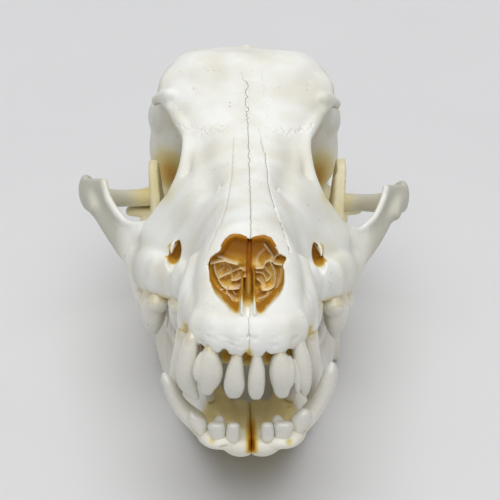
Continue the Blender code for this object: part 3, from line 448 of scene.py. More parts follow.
# Gaps in the bone between the upper front teeth: (x, u of the gum, half width).
GUM_GAPS = ((-12.2, 6.4, 0.9), (-6.3, 2, 1.2), (-0.85, 0.6, 0.9), (4.35, 1.2, 0.9), (10.2, 4.8, 0.9))

# %% Cut the hollows
rim = np.array(NOSE_RIM)
rings = []
for u in range(min(NOSE_DEPTH), max(NOSE_DEPTH) + 1, 3):
    rise, share = along(NOSE_DEPTH, u)[0]
    rings.append([(u, x * share, h + rise) for x, h in rim])
hollows = [
    tube("nose", rings), block("palate_vault", PALATE_VAULT), block("throat", THROAT),
    knob("spine_hole", *SPINE_HOLE), bar("spine_gutter", SPINE_GUTTER),
]
for x, u, half in GUM_GAPS:
    hollows.append(bar("gum_gap", ((u - 4, x, -2, half, 2.2), (u, x, -2, half, 2.4), (u + 3.6, x, -2.4, half, 2))))
for side in (1, -1):
    hollows.append(bar("cheek_canal", CHEEK_CANAL, side, up=(0, -0.22, 1)))
for hollow in hollows:
    cut(cranium, hollow)
ridges = [bar("canal_ridge", CANAL_RIDGE, side) for side in (1, -1)]
cranium = fuse("cranium", [cranium, *ridges], VOXEL * 0.9, 2)
cranium = largest(cranium)
thin(cranium, 150000)
print("cranium with its hollows:", count_triangles(cranium), "triangles")

# %% [markdown]
# ## Marks on the bone
#
# What makes it bone is small: the open seams between the nasal bones, a crumpled seam across the root of the
# nose, hollows beside the nasals, swellings over the roots of the teeth, and pores along the gum line. The
# skin is first made finer along each mark, then pressed in or raised along its line, as with a sculptor's tool.

# %% Sculptor's tools
def points_of(piece):
    """The points of a piece as (u, x, h) in millimetres."""
    co = np.empty(len(piece.data.vertices) * 3)
    piece.data.vertices.foreach_get("co", co)
    return co.reshape(-1, 3)[:, [1, 0, 2]] / MM


def normals_of(piece):
    normal = np.empty(len(piece.data.vertices) * 3)
    piece.data.vertices.foreach_get("normal", normal)
    return normal.reshape(-1, 3)[:, [1, 0, 2]]


def distance_to(points, line):
    """Distance of each point to a line of points."""
    line = np.asarray(line, float)
    best = np.full(len(points), 1e9)
    for a, b in zip(line[:-1], line[1:]):
        run = b - a
        t = np.clip((points - a) @ run / (run @ run), 0, 1)
        best = np.minimum(best, np.linalg.norm(points - a - t[:, None] * run, axis=1))
    return best


def near_line(points, line, reach):
    """Whether points lie in the box of a line, widened by a reach."""
    line = np.asarray(line, float)
    return np.all((points > line.min(axis=0) - reach) & (points < line.max(axis=0) + reach), axis=1)


def lay_on(piece, line):
    """Lay a line on the surface of a piece, in steps of about a millimetre, each point once."""
    line = np.asarray(line, float)
    laid = []
    for a, b in zip(line[:-1], line[1:]):
        for t in np.arange(0, 1, 1 / max(1, np.linalg.norm(b - a))):
            laid.append(a + (b - a) * t)
    laid.append(line[-1])
    found = [piece.closest_point_on_mesh(Vector((x, u, h)) * MM)[1] / MM for u, x, h in laid]
    on_skin = np.array([(p.y, p.x, p.z) for p in found])
    return on_skin[np.r_[True, np.linalg.norm(np.diff(on_skin, axis=0), axis=1) > 0.01]]


def refine(piece, marks, reach):
    """Subdivide the faces that lie within reach of any of the lines."""
    points = points_of(piece)
    close = np.zeros(len(points), bool)
    for line in marks:
        line = lay_on(piece, line)
        box = np.flatnonzero(near_line(points, line, reach))
        close[box] |= distance_to(points[box], line) < reach
    corners = np.empty(len(piece.data.loops), int)
    piece.data.loops.foreach_get("vertex_index", corners)
    starts = np.empty(len(piece.data.polygons), int)
    piece.data.polygons.foreach_get("loop_start", starts)
    picked = np.logical_and.reduceat(close[corners], starts)
    pick(piece)
    bpy.ops.object.mode_set(mode="EDIT")
    bpy.ops.mesh.select_mode(type="FACE")
    bpy.ops.mesh.select_all(action="DESELECT")
    bpy.ops.object.mode_set(mode="OBJECT")
    piece.data.polygons.foreach_set("select", picked)
    bpy.ops.object.mode_set(mode="EDIT")
    bpy.ops.mesh.subdivide(number_cuts=1)
    bpy.ops.mesh.select_all(action="SELECT")
    bpy.ops.mesh.quads_convert_to_tris()
    bpy.ops.mesh.select_mode(type="VERT")
    bpy.ops.object.mode_set(mode="OBJECT")
    return piece


def press(piece, strokes):
    """Move the surface along its normals: strokes of (line, reach, height), raised if above zero."""
    points, normals = points_of(piece), normals_of(piece)
    move = np.zeros(len(points))
    for line, reach, height in strokes:
        line = lay_on(piece, line)
        box = np.flatnonzero(near_line(points, line, 3 * reach))
        if len(box):
            move[box] += height * np.exp(-(distance_to(points[box], line) / reach) ** 2)
    points = points + normals * move[:, None]
    piece.data.vertices.foreach_set("co", (points[:, [1, 0, 2]] * MM).ravel())
    piece.data.update()
    return piece


def both(line):
    """A line on the right side, and its mirror on the left."""
    return [tuple(line), tuple((u, -x, h) for u, x, h in line)]


# %% Lines of the marks: (u, x, h)
MID_SEAM = ((113, 0, 58.4), (106.5, 0, 53.4), (97.8, 0.2, 47.4), (88.5, 0.4, 43), (69.6, 0.5, 36.6),
            (44.6, 0.5, 31.8), (18.6, 0.3, 26.8), (15, 0.2, 24))
NASAL_SEAM_RIGHT = ((90, 4.2, 43.4), (86.2, 4.8, 41.9), (82.4, 5.4, 40.2), (71.9, 6.1, 36.3), (56.9, 6.3, 32.8),
                    (44.9, 7.5, 29.9), (35.7, 8.6, 27.9), (21.7, 9.8, 25.6), (19.0, 10.8, 22.9))
NASAL_SEAM_LEFT = ((90, -4, 43.4), (85.8, -4.3, 41.7), (74.0, -4.6, 37.3), (62.8, -4.9, 34.5), (50.0, -5.8, 31.6),
                   (39.3, -6.6, 29.8), (28.7, -7.9, 27.8), (21.7, -9.2, 26.1), (18.9, -11.0, 22.5))
CROSS_SEAM_LEFT = ((101.6, -20.4, 45.9), (98.4, -18.8, 44.6), (99.4, -17.2, 45.8), (96.2, -15.8, 44.4),
                   (97.2, -14.0, 45.6), (94.2, -12.6, 44.2), (96.4, -10.8, 45.8), (93.6, -8.6, 44.6), (95.6, -6, 45.6))
CROSS_SEAM_RIGHT = tuple((u + 0.6, -x, h) for u, x, h in CROSS_SEAM_LEFT)
FRONT_SEAM = ((4.4, -0.1, 9.2), (2.2, -0.1, 7.4), (-0.2, -0.1, 5.4), (-0.6, 0.0, 3), (0.1, 0.1, 0), (1.4, 0.1, -1.6))
PREMAXILLA_SEAM = ((13, 17, 1), (14.6, 15.8, 8), (19, 15, 13), (26, 14, 19), (34, 11.6, 25.5), (38, 9.2, 28.4))
CHEEK_SEAM = ((84, 32, 17), (80, 34.6, 12), (78, 36.5, 7), (78.6, 35, 2.4))
SIDE_HOLLOW = ((92, 14.5, 43), (84, 14, 39.6), (74, 13.2, 35.6), (64, 12.6, 32.4))
CHEEK_HOLLOW = ((72, 28, 24), (66, 26, 20), (60, 24, 18))
SMALL_GROOVE_LEFT = ((64.4, -8.2, 33), (60, -9.2, 31.8))
SMALL_GROOVE_RIGHT = ((66.4, 9.9, 33), (62, 9.1, 32.2))
TEAR_FACET = ((99, 20, 41.5), (91, 19.6, 35.4), (84, 21, 29), (82.4, 24, 23.4))
BROW_LIP = ((113, 23.6, 53.6), (117, 27, 52.6), (120.4, 30.2, 51.4))
BROW_UNDERCUT = ((113, 24, 47.4), (118, 27.4, 47), (123, 29.6, 46))
TEMPLE_LINE = ((119, 27, 54.5), (126, 23.6, 61), (134, 17.6, 65.4), (142, 10, 67.6), (150, 3, 68))
DOME_FURROW = ((104, 0, 52.4), (116, 0, 61), (128, 0, 67), (138, 0, 68.4))
ROOTS = (
    (((2.2, 2.4, -0.5), (2, 2.6, 4)), 1.7, 0.45), (((3.4, 8.4, 0.5), (4.4, 8.6, 5.5)), 2.0, 0.5),
    (((7, 14, 1.5), (8.6, 14, 7)), 2.2, 0.55), (((20, 18, 3), (24, 18, 9), (30, 16, 16)), 2.8, 0.5),
    (((38, 17.4, 2), (38.6, 17, 7)), 1.5, 0.35), (((50, 20.6, 2), (50.6, 20, 7)), 1.5, 0.4),
    (((55.4, 22.6, 2), (56, 22, 6.6)), 1.5, 0.35), (((62.6, 27.4, 2), (62.6, 26.6, 9)), 1.9, 0.6),
    (((74, 32, 2), (74, 31.6, 7)), 2.0, 0.5), (((82, 33, 3), (82, 33, 6)), 1.6, 0.4),
)
ARCH_LIP = ((84, 30, 20.4), (87, 34, 17.6), (90, 37.8, 17.2), (93.5, 41.2, 19.6), (98.5, 43.9, 22.8), (102, 45.4, 27.2))
ARCH_HOLLOW = ((88, 37.2, 14.4), (93, 41.6, 15.6), (99, 45.8, 18.4), (104, 48, 23))
TEAR_HOLE = ((84.6, 21.8, 24.6), (88, 20.6, 25.4))
CHEEK_PIT = ((80.4, 36.2, 12.6), (80.8, 37.2, 11.2))

# %% Press the marks
rng = np.random.default_rng(11)
GUM_PITS, SEAM_PITS = 60, 34
seams = [MID_SEAM, NASAL_SEAM_RIGHT, NASAL_SEAM_LEFT, CROSS_SEAM_LEFT, CROSS_SEAM_RIGHT, FRONT_SEAM]
pits = []
for _ in range(GUM_PITS):
    x = rng.uniform(-13, 13)
    pits.append(((1.5 + 0.035 * x * x, x, rng.uniform(-1.5, 4.5)), rng.uniform(0.3, 0.6), -rng.uniform(0.15, 0.45)))
for line in (CROSS_SEAM_LEFT, CROSS_SEAM_RIGHT):
    for _ in range(SEAM_PITS):
        end = rng.integers(len(line) - 1)
        spot = np.array(line[end]) + rng.uniform(0, 1) * (np.array(line[end + 1]) - line[end]) + rng.normal(0, 0.7, 3)
        pits.append((spot, rng.uniform(0.28, 0.5), -rng.uniform(0.08, 0.26)))
if FINE:
    refine(cranium, [*seams, SMALL_GROOVE_LEFT, SMALL_GROOVE_RIGHT, ((1, -13, 1.5), (0, 0, 1.5), (1, 13, 1.5))], 2.4)
    refine(cranium, [*seams, SMALL_GROOVE_LEFT, SMALL_GROOVE_RIGHT], 1.1)
strokes = [
    (MID_SEAM, 0.38, -0.22), (MID_SEAM[:3], 0.5, -0.3), (NASAL_SEAM_RIGHT, 0.38, -0.2),
    (NASAL_SEAM_RIGHT[5:], 0.4, -0.3),
    (NASAL_SEAM_RIGHT[:3], 0.4, -0.2), (NASAL_SEAM_LEFT, 0.45, -0.14), (FRONT_SEAM, 0.45, -0.25),
    (SMALL_GROOVE_LEFT, 0.6, -0.55), (SMALL_GROOVE_RIGHT, 0.6, -0.5), (DOME_FURROW, 5, -0.35),
]
strokes += [(line, *size) for size in ((0.5, -0.12), (1.8, 0.2)) for line in (CROSS_SEAM_LEFT, CROSS_SEAM_RIGHT)]
paired = (
    (SIDE_HOLLOW, 4.2, -1.7), (CHEEK_HOLLOW, 5, -0.5), (TEAR_FACET, 1.8, -0.7), (BROW_LIP, 1.3, 0.7),
    (BROW_UNDERCUT, 3, -1.6), (TEMPLE_LINE, 1.5, 0.35), (ARCH_LIP, 0.9, 0.45), (ARCH_HOLLOW, 2.2, -0.7),
    (TEAR_HOLE, 1.2, -1.6), (CHEEK_PIT, 1.0, -0.8), (PREMAXILLA_SEAM, 0.7, -0.22), (CHEEK_SEAM, 0.8, -0.25), *ROOTS,
)
strokes += [(part, reach, height) for line, reach, height in paired for part in both(line)]
strokes += [((spot, np.add(spot, (0.3, 0, 0.2))), reach, height) for spot, reach, height in pits]
press(cranium, strokes)
thin(cranium, 196000)
print("marked cranium:", count_triangles(cranium), "triangles")

# %% [markdown]
# ## Where the bone is stained
#
# Bleach whitens what it can reach. Deep in the nose, in the eye sockets, between the necks of the teeth and
# inside the jaw, fat and old tissue leave the bone amber. The stain is stored on the skin as a number at each
# point, and so is the distance to each open seam, with its side, so that the seam can be drawn sharp.

# %% Measure stains and seams
def soft_step(low, high, value):
    t = np.clip((value - low) / (high - low), 0, 1)
    return t * t * (3 - 2 * t)


def blob(points, centre, radii):
    """A soft spot of 1 at a centre (u, x, h) and at its mirror, fading over its radii."""
    place = points.copy()
    place[:, 1] = np.abs(place[:, 1])
    return np.exp(-(((place - np.array(centre, float)) / np.array(radii, float)) ** 2).sum(axis=1))


def within(points, u, reach, h):
    """Whether points lie between two u and two h, and within a reach of the midline."""
    back, side, high = points[:, 0], np.abs(points[:, 1]), points[:, 2]
    return (back > u[0]) & (back < u[1]) & (side < reach) & (high > h[0]) & (high < h[1])


def store(piece, name, values):
    """Store a number or a vector at each point."""
    kind = "FLOAT" if values.ndim == 1 else "FLOAT_VECTOR"
    mark = piece.data.attributes.new(name, kind, "POINT")
    flat = np.ascontiguousarray(values, dtype=np.float32).ravel()
    mark.data.foreach_set("value" if values.ndim == 1 else "vector", flat)


SEAM_REACH, NO_SEAM = 6, 9.0


def signed_offset(piece, line):
    """Distance to a line on the surface, negative on one side of it, so that it passes smoothly through zero."""
    points, normals, line = points_of(piece), normals_of(piece), lay_on(piece, line)
    best, sign = np.full(len(points), NO_SEAM), np.ones(len(points))
    box = np.flatnonzero(near_line(points, line, SEAM_REACH))
    for a, b in zip(line[:-1], line[1:]):
        run = b - a
        t = np.clip((points[box] - a) @ run / (run @ run), 0, 1)
        offset = points[box] - a - t[:, None] * run
        offset = offset - normals[box] * (offset * normals[box]).sum(axis=1, keepdims=True)
        gap = np.linalg.norm(offset, axis=1) + (np.linalg.norm(points[box] - a, axis=1) > SEAM_REACH) * NO_SEAM
        closer = gap < best[box]
        best[box] = np.where(closer, gap, best[box])
        lies_right = (offset * np.cross(normals[box], run)).sum(axis=1) > 0
        sign[box] = np.where(closer, np.where(lies_right, 1.0, -1.0), sign[box])
    return best * sign


def store_no_seams(piece):
    """A piece without seams still needs the two attributes, or its material would draw lines at zero."""
    for attribute in ("seam", "faint_seam"):
        store(piece, attribute, np.full((len(piece.data.vertices), 3), NO_SEAM))


# %% Stains: (centre, radii, amount), at the place shown and at its mirror
ORBIT_STAINS = (
    ((112, 16, 28), (20, 9, 11), 0.5), ((122, 25, 43), (11, 6, 6), 0.22), ((85, 22.6, 25), (6, 3.4, 4), 0.6),
    ((96, 15, 20), (14, 9, 8), 0.7), ((134, 25, 25), (16, 7, 8.5), 0.74), ((146, 34, 16), (9, 10, 8), 0.34),
    ((104, 47, 18), (14, 6, 9), 0.13), ((137, 47, 17), (10, 8, 6), 0.3), ((124, 49, 22), (12, 2.4, 6), 0.2),
)
GUM_STAINS = (
    ((7, 0.4, -3), (3, 2.4, 3.2), 0.82), ((7, 5.4, -3), (3, 2.4, 3.2), 0.82), ((10, 11.4, -2.6), (3.4, 2, 3.2), 0.82),
    ((0.4, 0.2, -1.6), (4, 1, 2.4), 0.6), ((15, 16.6, -1), (2.5, 3, 4), 0.7), ((30, 14, -2), (8, 4, 3), 0.4),
    ((62, 24, -1), (16, 5, 2.4), 0.35),
)
# Painted shade: a grey on faces that turn away from the light, on the temple wall, the cheek before the arch,
# the hollow by the nasals, and the pit below the eye.
PAINTED_SHADE_PATCHES = (
    ((130, 30, 46), (16, 6, 12), 0.45), ((76, 34, 8), (9, 6, 7), 0.5), ((80, 13.6, 38), (14, 3.4, 6), 0.34),
    ((82, 25, 25), (14, 8, 10), 0.28),
)


# %% Stain the cranium
def faces_line(points, normals, start, end):
    """Whether each point lies beside a line and its surface looks towards it, as the wall of a canal does."""
    start, run = np.array(start, float), np.array(end, float) - np.array(start, float)
    t = (points - start) @ run / (run @ run)
    offset = points - start - t[:, None] * run
    away = np.linalg.norm(offset, axis=1)
    return (t > 0) & (t < 1) & ((offset * normals).sum(axis=1) < -0.4 * away), away


points, normals = points_of(cranium), normals_of(cranium)
stain = np.zeros(len(points))
for centre, radii, amount in (*ORBIT_STAINS, *GUM_STAINS):
    stain = np.maximum(stain, amount * blob(points, centre, radii))
in_nose, _ = faces_line(points, normals, (0, 0, 15), (49, 0, 20))
rim_line = np.array([(0, x, h) for x, h in (*NOSE_RIM, NOSE_RIM[0])])
near_wall = np.zeros(len(points), bool)
in_nose = np.flatnonzero(in_nose & within(points, (0, 49), 11.4, (7.4, 31)))
rise_share = along(NOSE_DEPTH, points[in_nose, 0])
flat = np.stack([0 * in_nose, points[in_nose, 1] / rise_share[:, 1], points[in_nose, 2] - rise_share[:, 0]], axis=1)
near_wall[in_nose] = distance_to(flat, rim_line) < 1.1
back_wall = (normals[:, 0] < -0.3) & within(points, (40, 50), 11, (8, 28))
rim_depth = points[:, 0] - np.interp(points[:, 2], (8, 21, 28), (3.5, 14.4, 20))
stain = np.where(near_wall | back_wall, np.maximum(stain, 0.8 * soft_step(0.9, 3.6, rim_depth)), stain)
gutter = near_wall & (np.abs(points[:, 1] + 0.3) < 2.4) & (points[:, 2] < 15)
stain = np.where(gutter, np.minimum(stain, 0.2 + 0.6 * soft_step(2, 12, points[:, 0] - 2)), stain)
for side in (1, -1):
    in_canal, away = faces_line(points, normals, (56, 21.4 * side, 12.6), (76, 20 * side, 15.2))
    at_end = (normals[:, 0] < -0.4) & (away < 2.2) & (np.abs(points[:, 0] - 65) < 3)
    stain = np.where(in_canal & (away < 3.6) | at_end, np.maximum(stain, 0.72 * soft_step(58.6, 61.4, points[:, 0])),
                     stain)
palate = (normals[:, 2] < -0.3) & (points[:, 2] < 8) & (np.abs(points[:, 1]) < 19) & (points[:, 0] > 9)
stain = np.where(palate, np.maximum(stain, 0.45), stain)
spine_hole = np.exp(-((points - (176, 0, 27.5)) ** 2 / 81).sum(axis=1))
stain = np.maximum(stain, 0.9 * spine_hole)
store(cranium, "stain", stain)
# Painted shade: the outer faces of the arches are greyed, all but their upward rim, which the light catches.
dull = soft_step(34, 42, np.abs(points[:, 1])) * soft_step(80, 90, points[:, 0])
for line in both(ARCH_LIP):
    dull *= soft_step(0.8, 1.8, distance_to(points, lay_on(cranium, line)))
for centre, radii, amount in PAINTED_SHADE_PATCHES:
    dull = np.maximum(dull, amount * blob(points, centre, radii))
store(cranium, "dull", dull)

# %% Store the seams: (line, stretch), where a seam whose offsets are stretched is drawn finer
SEAMS = {
    "seam": ((MID_SEAM, 1.2), (NASAL_SEAM_RIGHT, 1.3), (FRONT_SEAM, 1.8)),
    "faint_seam": ((NASAL_SEAM_LEFT, 1), (CROSS_SEAM_LEFT, 2), (CROSS_SEAM_RIGHT, 2)),
}
for attribute, lines in SEAMS.items():
    store(cranium, attribute, np.stack([signed_offset(cranium, line) * stretch for line, stretch in lines], axis=1))
print("stained points:", int((stain > 0.5).sum()), "of", len(points))

# %% [markdown]
# ## The lower jaw
#
# Each half is a deep bar that carries the teeth, and an upright plate behind it, with a knob for the hinge.
# The halves meet in front at a rough joint that stays open in a dry skull.

# %% Sizes of the lower jaw, right half, drawn shut
JAW_BODY = (
    (4.6, 6.0, -15.9, 4.0, 1.6), (8, 7.6, -15.6, 6.0, 3.2), (14, 8.8, -15.9, 6.4, 4.2), (25, 8.8, -17.6, 5.8, 6.4),
    (38, 11, -20.6, 5.2, 9.8), (52, 14.4, -22, 4.6, 11.2), (68, 18.2, -22.6, 4.7, 11.8),
    (86, 22, -22.2, 4.4, 12.6), (102, 25.6, -19, 3.8, 11.8), (114, 27.8, -15.6, 3, 11.4),
)
JAW_FRONT_BLOCK = ((5, 3.4, -16.8, 4.6, 2.2), (9, 3, -17.6, 5, 3.8), (14, 2.8, -18.6, 5.2, 4.6),
                   (24, 2.8, -20.6, 5, 6.4), (36, 2.8, -22.2, 4.6, 6.6))
JAW_SYMPHYSIS = 0.03
SYMPHYSIS_CLEFT = {
    -4: (8, -19, 1.9, 1.4, 1), 4: (8, -18.8, 1.7, 1.2, 1), 5.8: (8, -17.6, 1.2, 0.8, 1), 7: (8, -16, 0.6, 0.3, 1),
}
SYMPHYSIS_GROOVE = (
    (6, 0, -13.0, 1.7, 1.9), (10, 0, -13.3, 1.5, 1.7), (18, 0, -13.9, 1.1, 1.4), (28, 0, -14.8, 0.7, 1.1),
    (34, 0, -15.8, 0.4, 0.8),
)
JAW_BRANCH = (
    (98, -12), (106, 6), (113, 24), (119, 32.5), (126, 34), (131, 30), (134, 20), (140, 10.5), (149, 9),
    (151, 5), (147, -4), (146, -13), (149, -19), (146, -22.3), (138, -22.7), (128, -24), (116, -27),
    (104, -29),
)
JAW_BRANCH_X = {-30: 28.2, 8: 28.6, 34: 31}
JAW_BRANCH_HALF = 1.6
JAW_BRANCH_SHIFT = 0.8
JAW_FRONT_EDGE = ((100, 26.6, -14, 3, 3.4), (107, 28, 4, 1.8, 3.4), (114, 29.2, 20, 1.4, 3), (119, 30.2, 29, 1.2, 2.6))
JAW_KNOB = ((150, 26.5, 9.2, 3.2, 2), (150, 33, 9.8, 3.8, 2), (150, 40, 10.2, 3, 1.7))
JAW_NECK = ((138, 29.6, -4, 3, 4), (144, 30.6, 4, 3.6, 4), (148, 31.6, 7.4, 5, 2.6))
JAW_HEEL = ((124, 28.6, -19, 2.6, 5), (136, 29, -20.3, 2.8, 3.6), (146, 28.2, -20.9, 2.4, 2.9),
            (151, 27.2, -19.7, 1.4, 1.8))
# Small pits on the chin and behind the front teeth: ((u, x, h), reach, height).
JAW_PITS = {
    1: (((3.6, 10.1, -15.2), 1.1, -0.8), ((21, 9.4, -11.6), 1.0, -1.4), ((9.5, 6.4, -11.6), 1.1, -1.4),
        ((9.5, 10.6, -11), 1.0, -1.2)),
    -1: (((1.5, -7.9, -17.0), 0.55, -0.9), ((1.8, -6.6, -16.6), 0.55, -1.0), ((16, -10.2, -9.6), 1.3, -2.2),
         ((9.5, -6.2, -11.6), 1.2, -1.6), ((9.5, -10.8, -11), 1.0, -1.2), ((4, -10.8, -14.4), 1.2, -0.6)),
}


# %% Stain the inside of the jaw
def stain_jaw(half):
    """Straw-yellow where the tongue lay, amber in the joint of the two halves, pale along the teeth."""
    points, normals = points_of(half), normals_of(half)
    across = np.abs(points[:, 1])
    tongue_side = soft_step(-0.25, 0.35, normals[:, 2] - np.sign(points[:, 1]) * normals[:, 1] * 0.9)
    low = 1 - soft_step(-12, -8, points[:, 2]) * (points[:, 0] > 40)
    stain = 0.31 * tongue_side * soft_step(7.5, 11, points[:, 0] + 0.2 * across) * low
    stain = np.maximum(stain, 0.42 * soft_step(-12.5, -10.4, points[:, 2]) * (points[:, 0] > 13) * (points[:, 0] < 60))
    joint = (1 - soft_step(0.2, 2.5, across)) * (1 - soft_step(12, 30, points[:, 0]))
    stain = np.maximum(stain, 0.94 * joint * soft_step(-20.8, -17, points[:, 2]))
    for spot, reach, _ in JAW_PITS[1] + JAW_PITS[-1]:
        stain = np.maximum(stain, 0.5 * np.exp(-(np.linalg.norm(points - spot, axis=1) / reach) ** 2))
    stain = np.maximum(stain, 0.24 * soft_step(-12, 12, points[:, 2]) * soft_step(94, 108, points[:, 0]))
    store(half, "stain", stain)
    store_no_seams(half)


# %% Make the two halves
def branch(side):
    """The upright plate of the jaw: its side outline given a thickness."""
    outline = np.array(JAW_BRANCH, float)
    middle = along(JAW_BRANCH_X, outline[:, 1])[:, 0]
    rings = []
    for step in (-1, 1):
        x = (middle + step * JAW_BRANCH_HALF) * side + JAW_BRANCH_SHIFT
        rings.append(np.stack([outline[:, 0], x, outline[:, 1]], axis=1))
    return tube("branch", rings)


def jaw_half(name, side):
    pieces = [
        bar("body", JAW_BODY, side), bar("front_block", JAW_FRONT_BLOCK, side), branch(side),
        bar("neck", JAW_NECK, side), bar("heel", JAW_HEEL, side),
        bar("front_edge", JAW_FRONT_EDGE, side, up=(1, 0, 0)), bar("hinge_knob", JAW_KNOB, side),
    ]
    half = fuse(name, pieces, VOXEL * 0.8, 6)
    # What lies over the midline is cut off by a block, so that the halves meet at a flat joint.
    deselect()
    bpy.ops.mesh.primitive_cube_add(size=1)
    beyond = bpy.context.object
    beyond.scale = Vector((20, 80, 90)) * MM
    beyond.location = Vector(((JAW_SYMPHYSIS - 10) * side, 20, -20)) * MM
    bpy.ops.object.transform_apply(location=True, rotation=True, scale=True)
    cut(half, beyond)
    cut(half, block("cleft", SYMPHYSIS_CLEFT, square=2.2, step=1.0))
    cut(half, bar("groove", SYMPHYSIS_GROOVE))
    half = remesh(largest(half), VOXEL * 0.8, 1)
    thin(half, 90000)
    press(half, [([spot, np.array(spot) + (0, 0.2, 0.2)], reach, height) for spot, reach, height in JAW_PITS[side]])
    stain_jaw(half)
    return half


jaws = {1: jaw_half("lower_jaw_right", 1), -1: jaw_half("lower_jaw_left", -1)}
print("jaw halves:", [count_triangles(half) for half in jaws.values()], "triangles")

# %% [markdown]
# ## Teeth
#
# The front teeth face the viewer, so each is drawn by its outline: at a row of heights the left and right edge,
# and how far its front and back lie. A sheet rolled round those sections gives the crown, with its root sunk in
# the socket. The canines are hooked bars. Cheek teeth are a few cones that grow together: one cone is modelled
# by hand, a disc extruded up in steps, and every cone is a copy of it, stretched and bent to its own sizes.

# %% Model a cone by hand
ROOT_SHARE, ROOT_GIRTH = -0.45, 0.5
CONE_LEVELS = ((0.0, 0.9), (0.12, 1.0), (0.28, 1.03), (0.45, 0.97), (0.6, 0.86), (0.74, 0.7), (0.86, 0.5),
               (0.94, 0.33), (0.98, 0.2), (1.0, 0.08))


def model_by_hand(name, levels):
    """Extrude a disc up in steps of (height, girth) from the tip of the root to the tip of the crown."""
    deselect()
    bpy.ops.mesh.primitive_circle_add(vertices=24, radius=ROOT_GIRTH, fill_type="NGON", location=(0, 0, ROOT_SHARE))
    shape = bpy.context.object
    shape.name = name
    with editing():
        last_height, last_girth = ROOT_SHARE, ROOT_GIRTH
        for height, girth in levels:
            bpy.ops.mesh.extrude_region_move(TRANSFORM_OT_translate={"value": (0, 0, height - last_height)})
            bpy.ops.transform.resize(value=(girth / last_girth, girth / last_girth, 1))
            last_height, last_girth = height, girth
        bpy.ops.mesh.select_all(action="SELECT")
        bpy.ops.mesh.normals_make_consistent(inside=False)
    bpy.ops.object.transform_apply(location=True, rotation=True, scale=True)
    print(name, len(shape.data.vertices), "points")
    return shape


cone = model_by_hand("tooth_cone", CONE_LEVELS)


# %% Cones, crowns and teeth
def lobe(neck, tip, length, width, row, bend=(0, 0, 0)):
    """A copy of the cone from neck to tip (u, x, h), its section along and across the row."""
    unit = np.empty(len(cone.data.vertices) * 3)
    cone.data.vertices.foreach_get("co", unit)
    unit = unit.reshape(-1, 3)
    neck, tip, bend, row = (np.array(p, float) for p in (neck, tip, bend, row))
    row /= np.linalg.norm(row)
    axis = (tip - neck) / np.linalg.norm(tip - neck)
    across = np.cross(axis, row)
    across /= np.linalg.norm(across)
    a, b, t = unit[:, :1], unit[:, 1:2], unit[:, 2:]
    points = neck + (tip - neck) * t + bend * 4 * t * (1 - t) * (t > 0)
    points = points + row * a * length / 2 + across * b * width / 2
    copy = bpy.data.objects.new("lobe", cone.data.copy())
    bpy.context.scene.collection.objects.link(copy)
    copy.data.vertices.foreach_set("co", (points[:, [1, 0, 2]] * MM).ravel())
    return copy


def crown(levels):
    """A crown through levels {h: (left edge, right edge, front, back)}."""
    heights = np.linspace(min(levels), max(levels), int((max(levels) - min(levels)) / 0.6) + 2)
    left, right, front, back = along(levels, heights).T[:, :, None]
    sideways, outward = rounded(2.3, 28)
    x = (left + right) / 2 + sideways * (right - left) / 2
    u = (front + back) / 2 + outward * (back - front) / 2
    return tube("crown", np.stack([u, x, heights[:, None] + 0 * x], axis=2))


TOOTH_VOXEL = 0.28 if FINE else 0.45


def tooth(name, lobes, neck, tip):
    """Fuse the parts of a tooth, and store how far each point lies from its neck (0) to its tip (1)."""
    piece = fuse(name, lobes, TOOTH_VOXEL, 20 if FINE else 6)
    axis = np.array(tip, float) - np.array(neck, float)
    place = (points_of(piece) - np.array(neck, float)) @ axis / (axis @ axis)
    store(piece, "neck_to_tip", np.clip(place, -1, 1.2))
    return piece


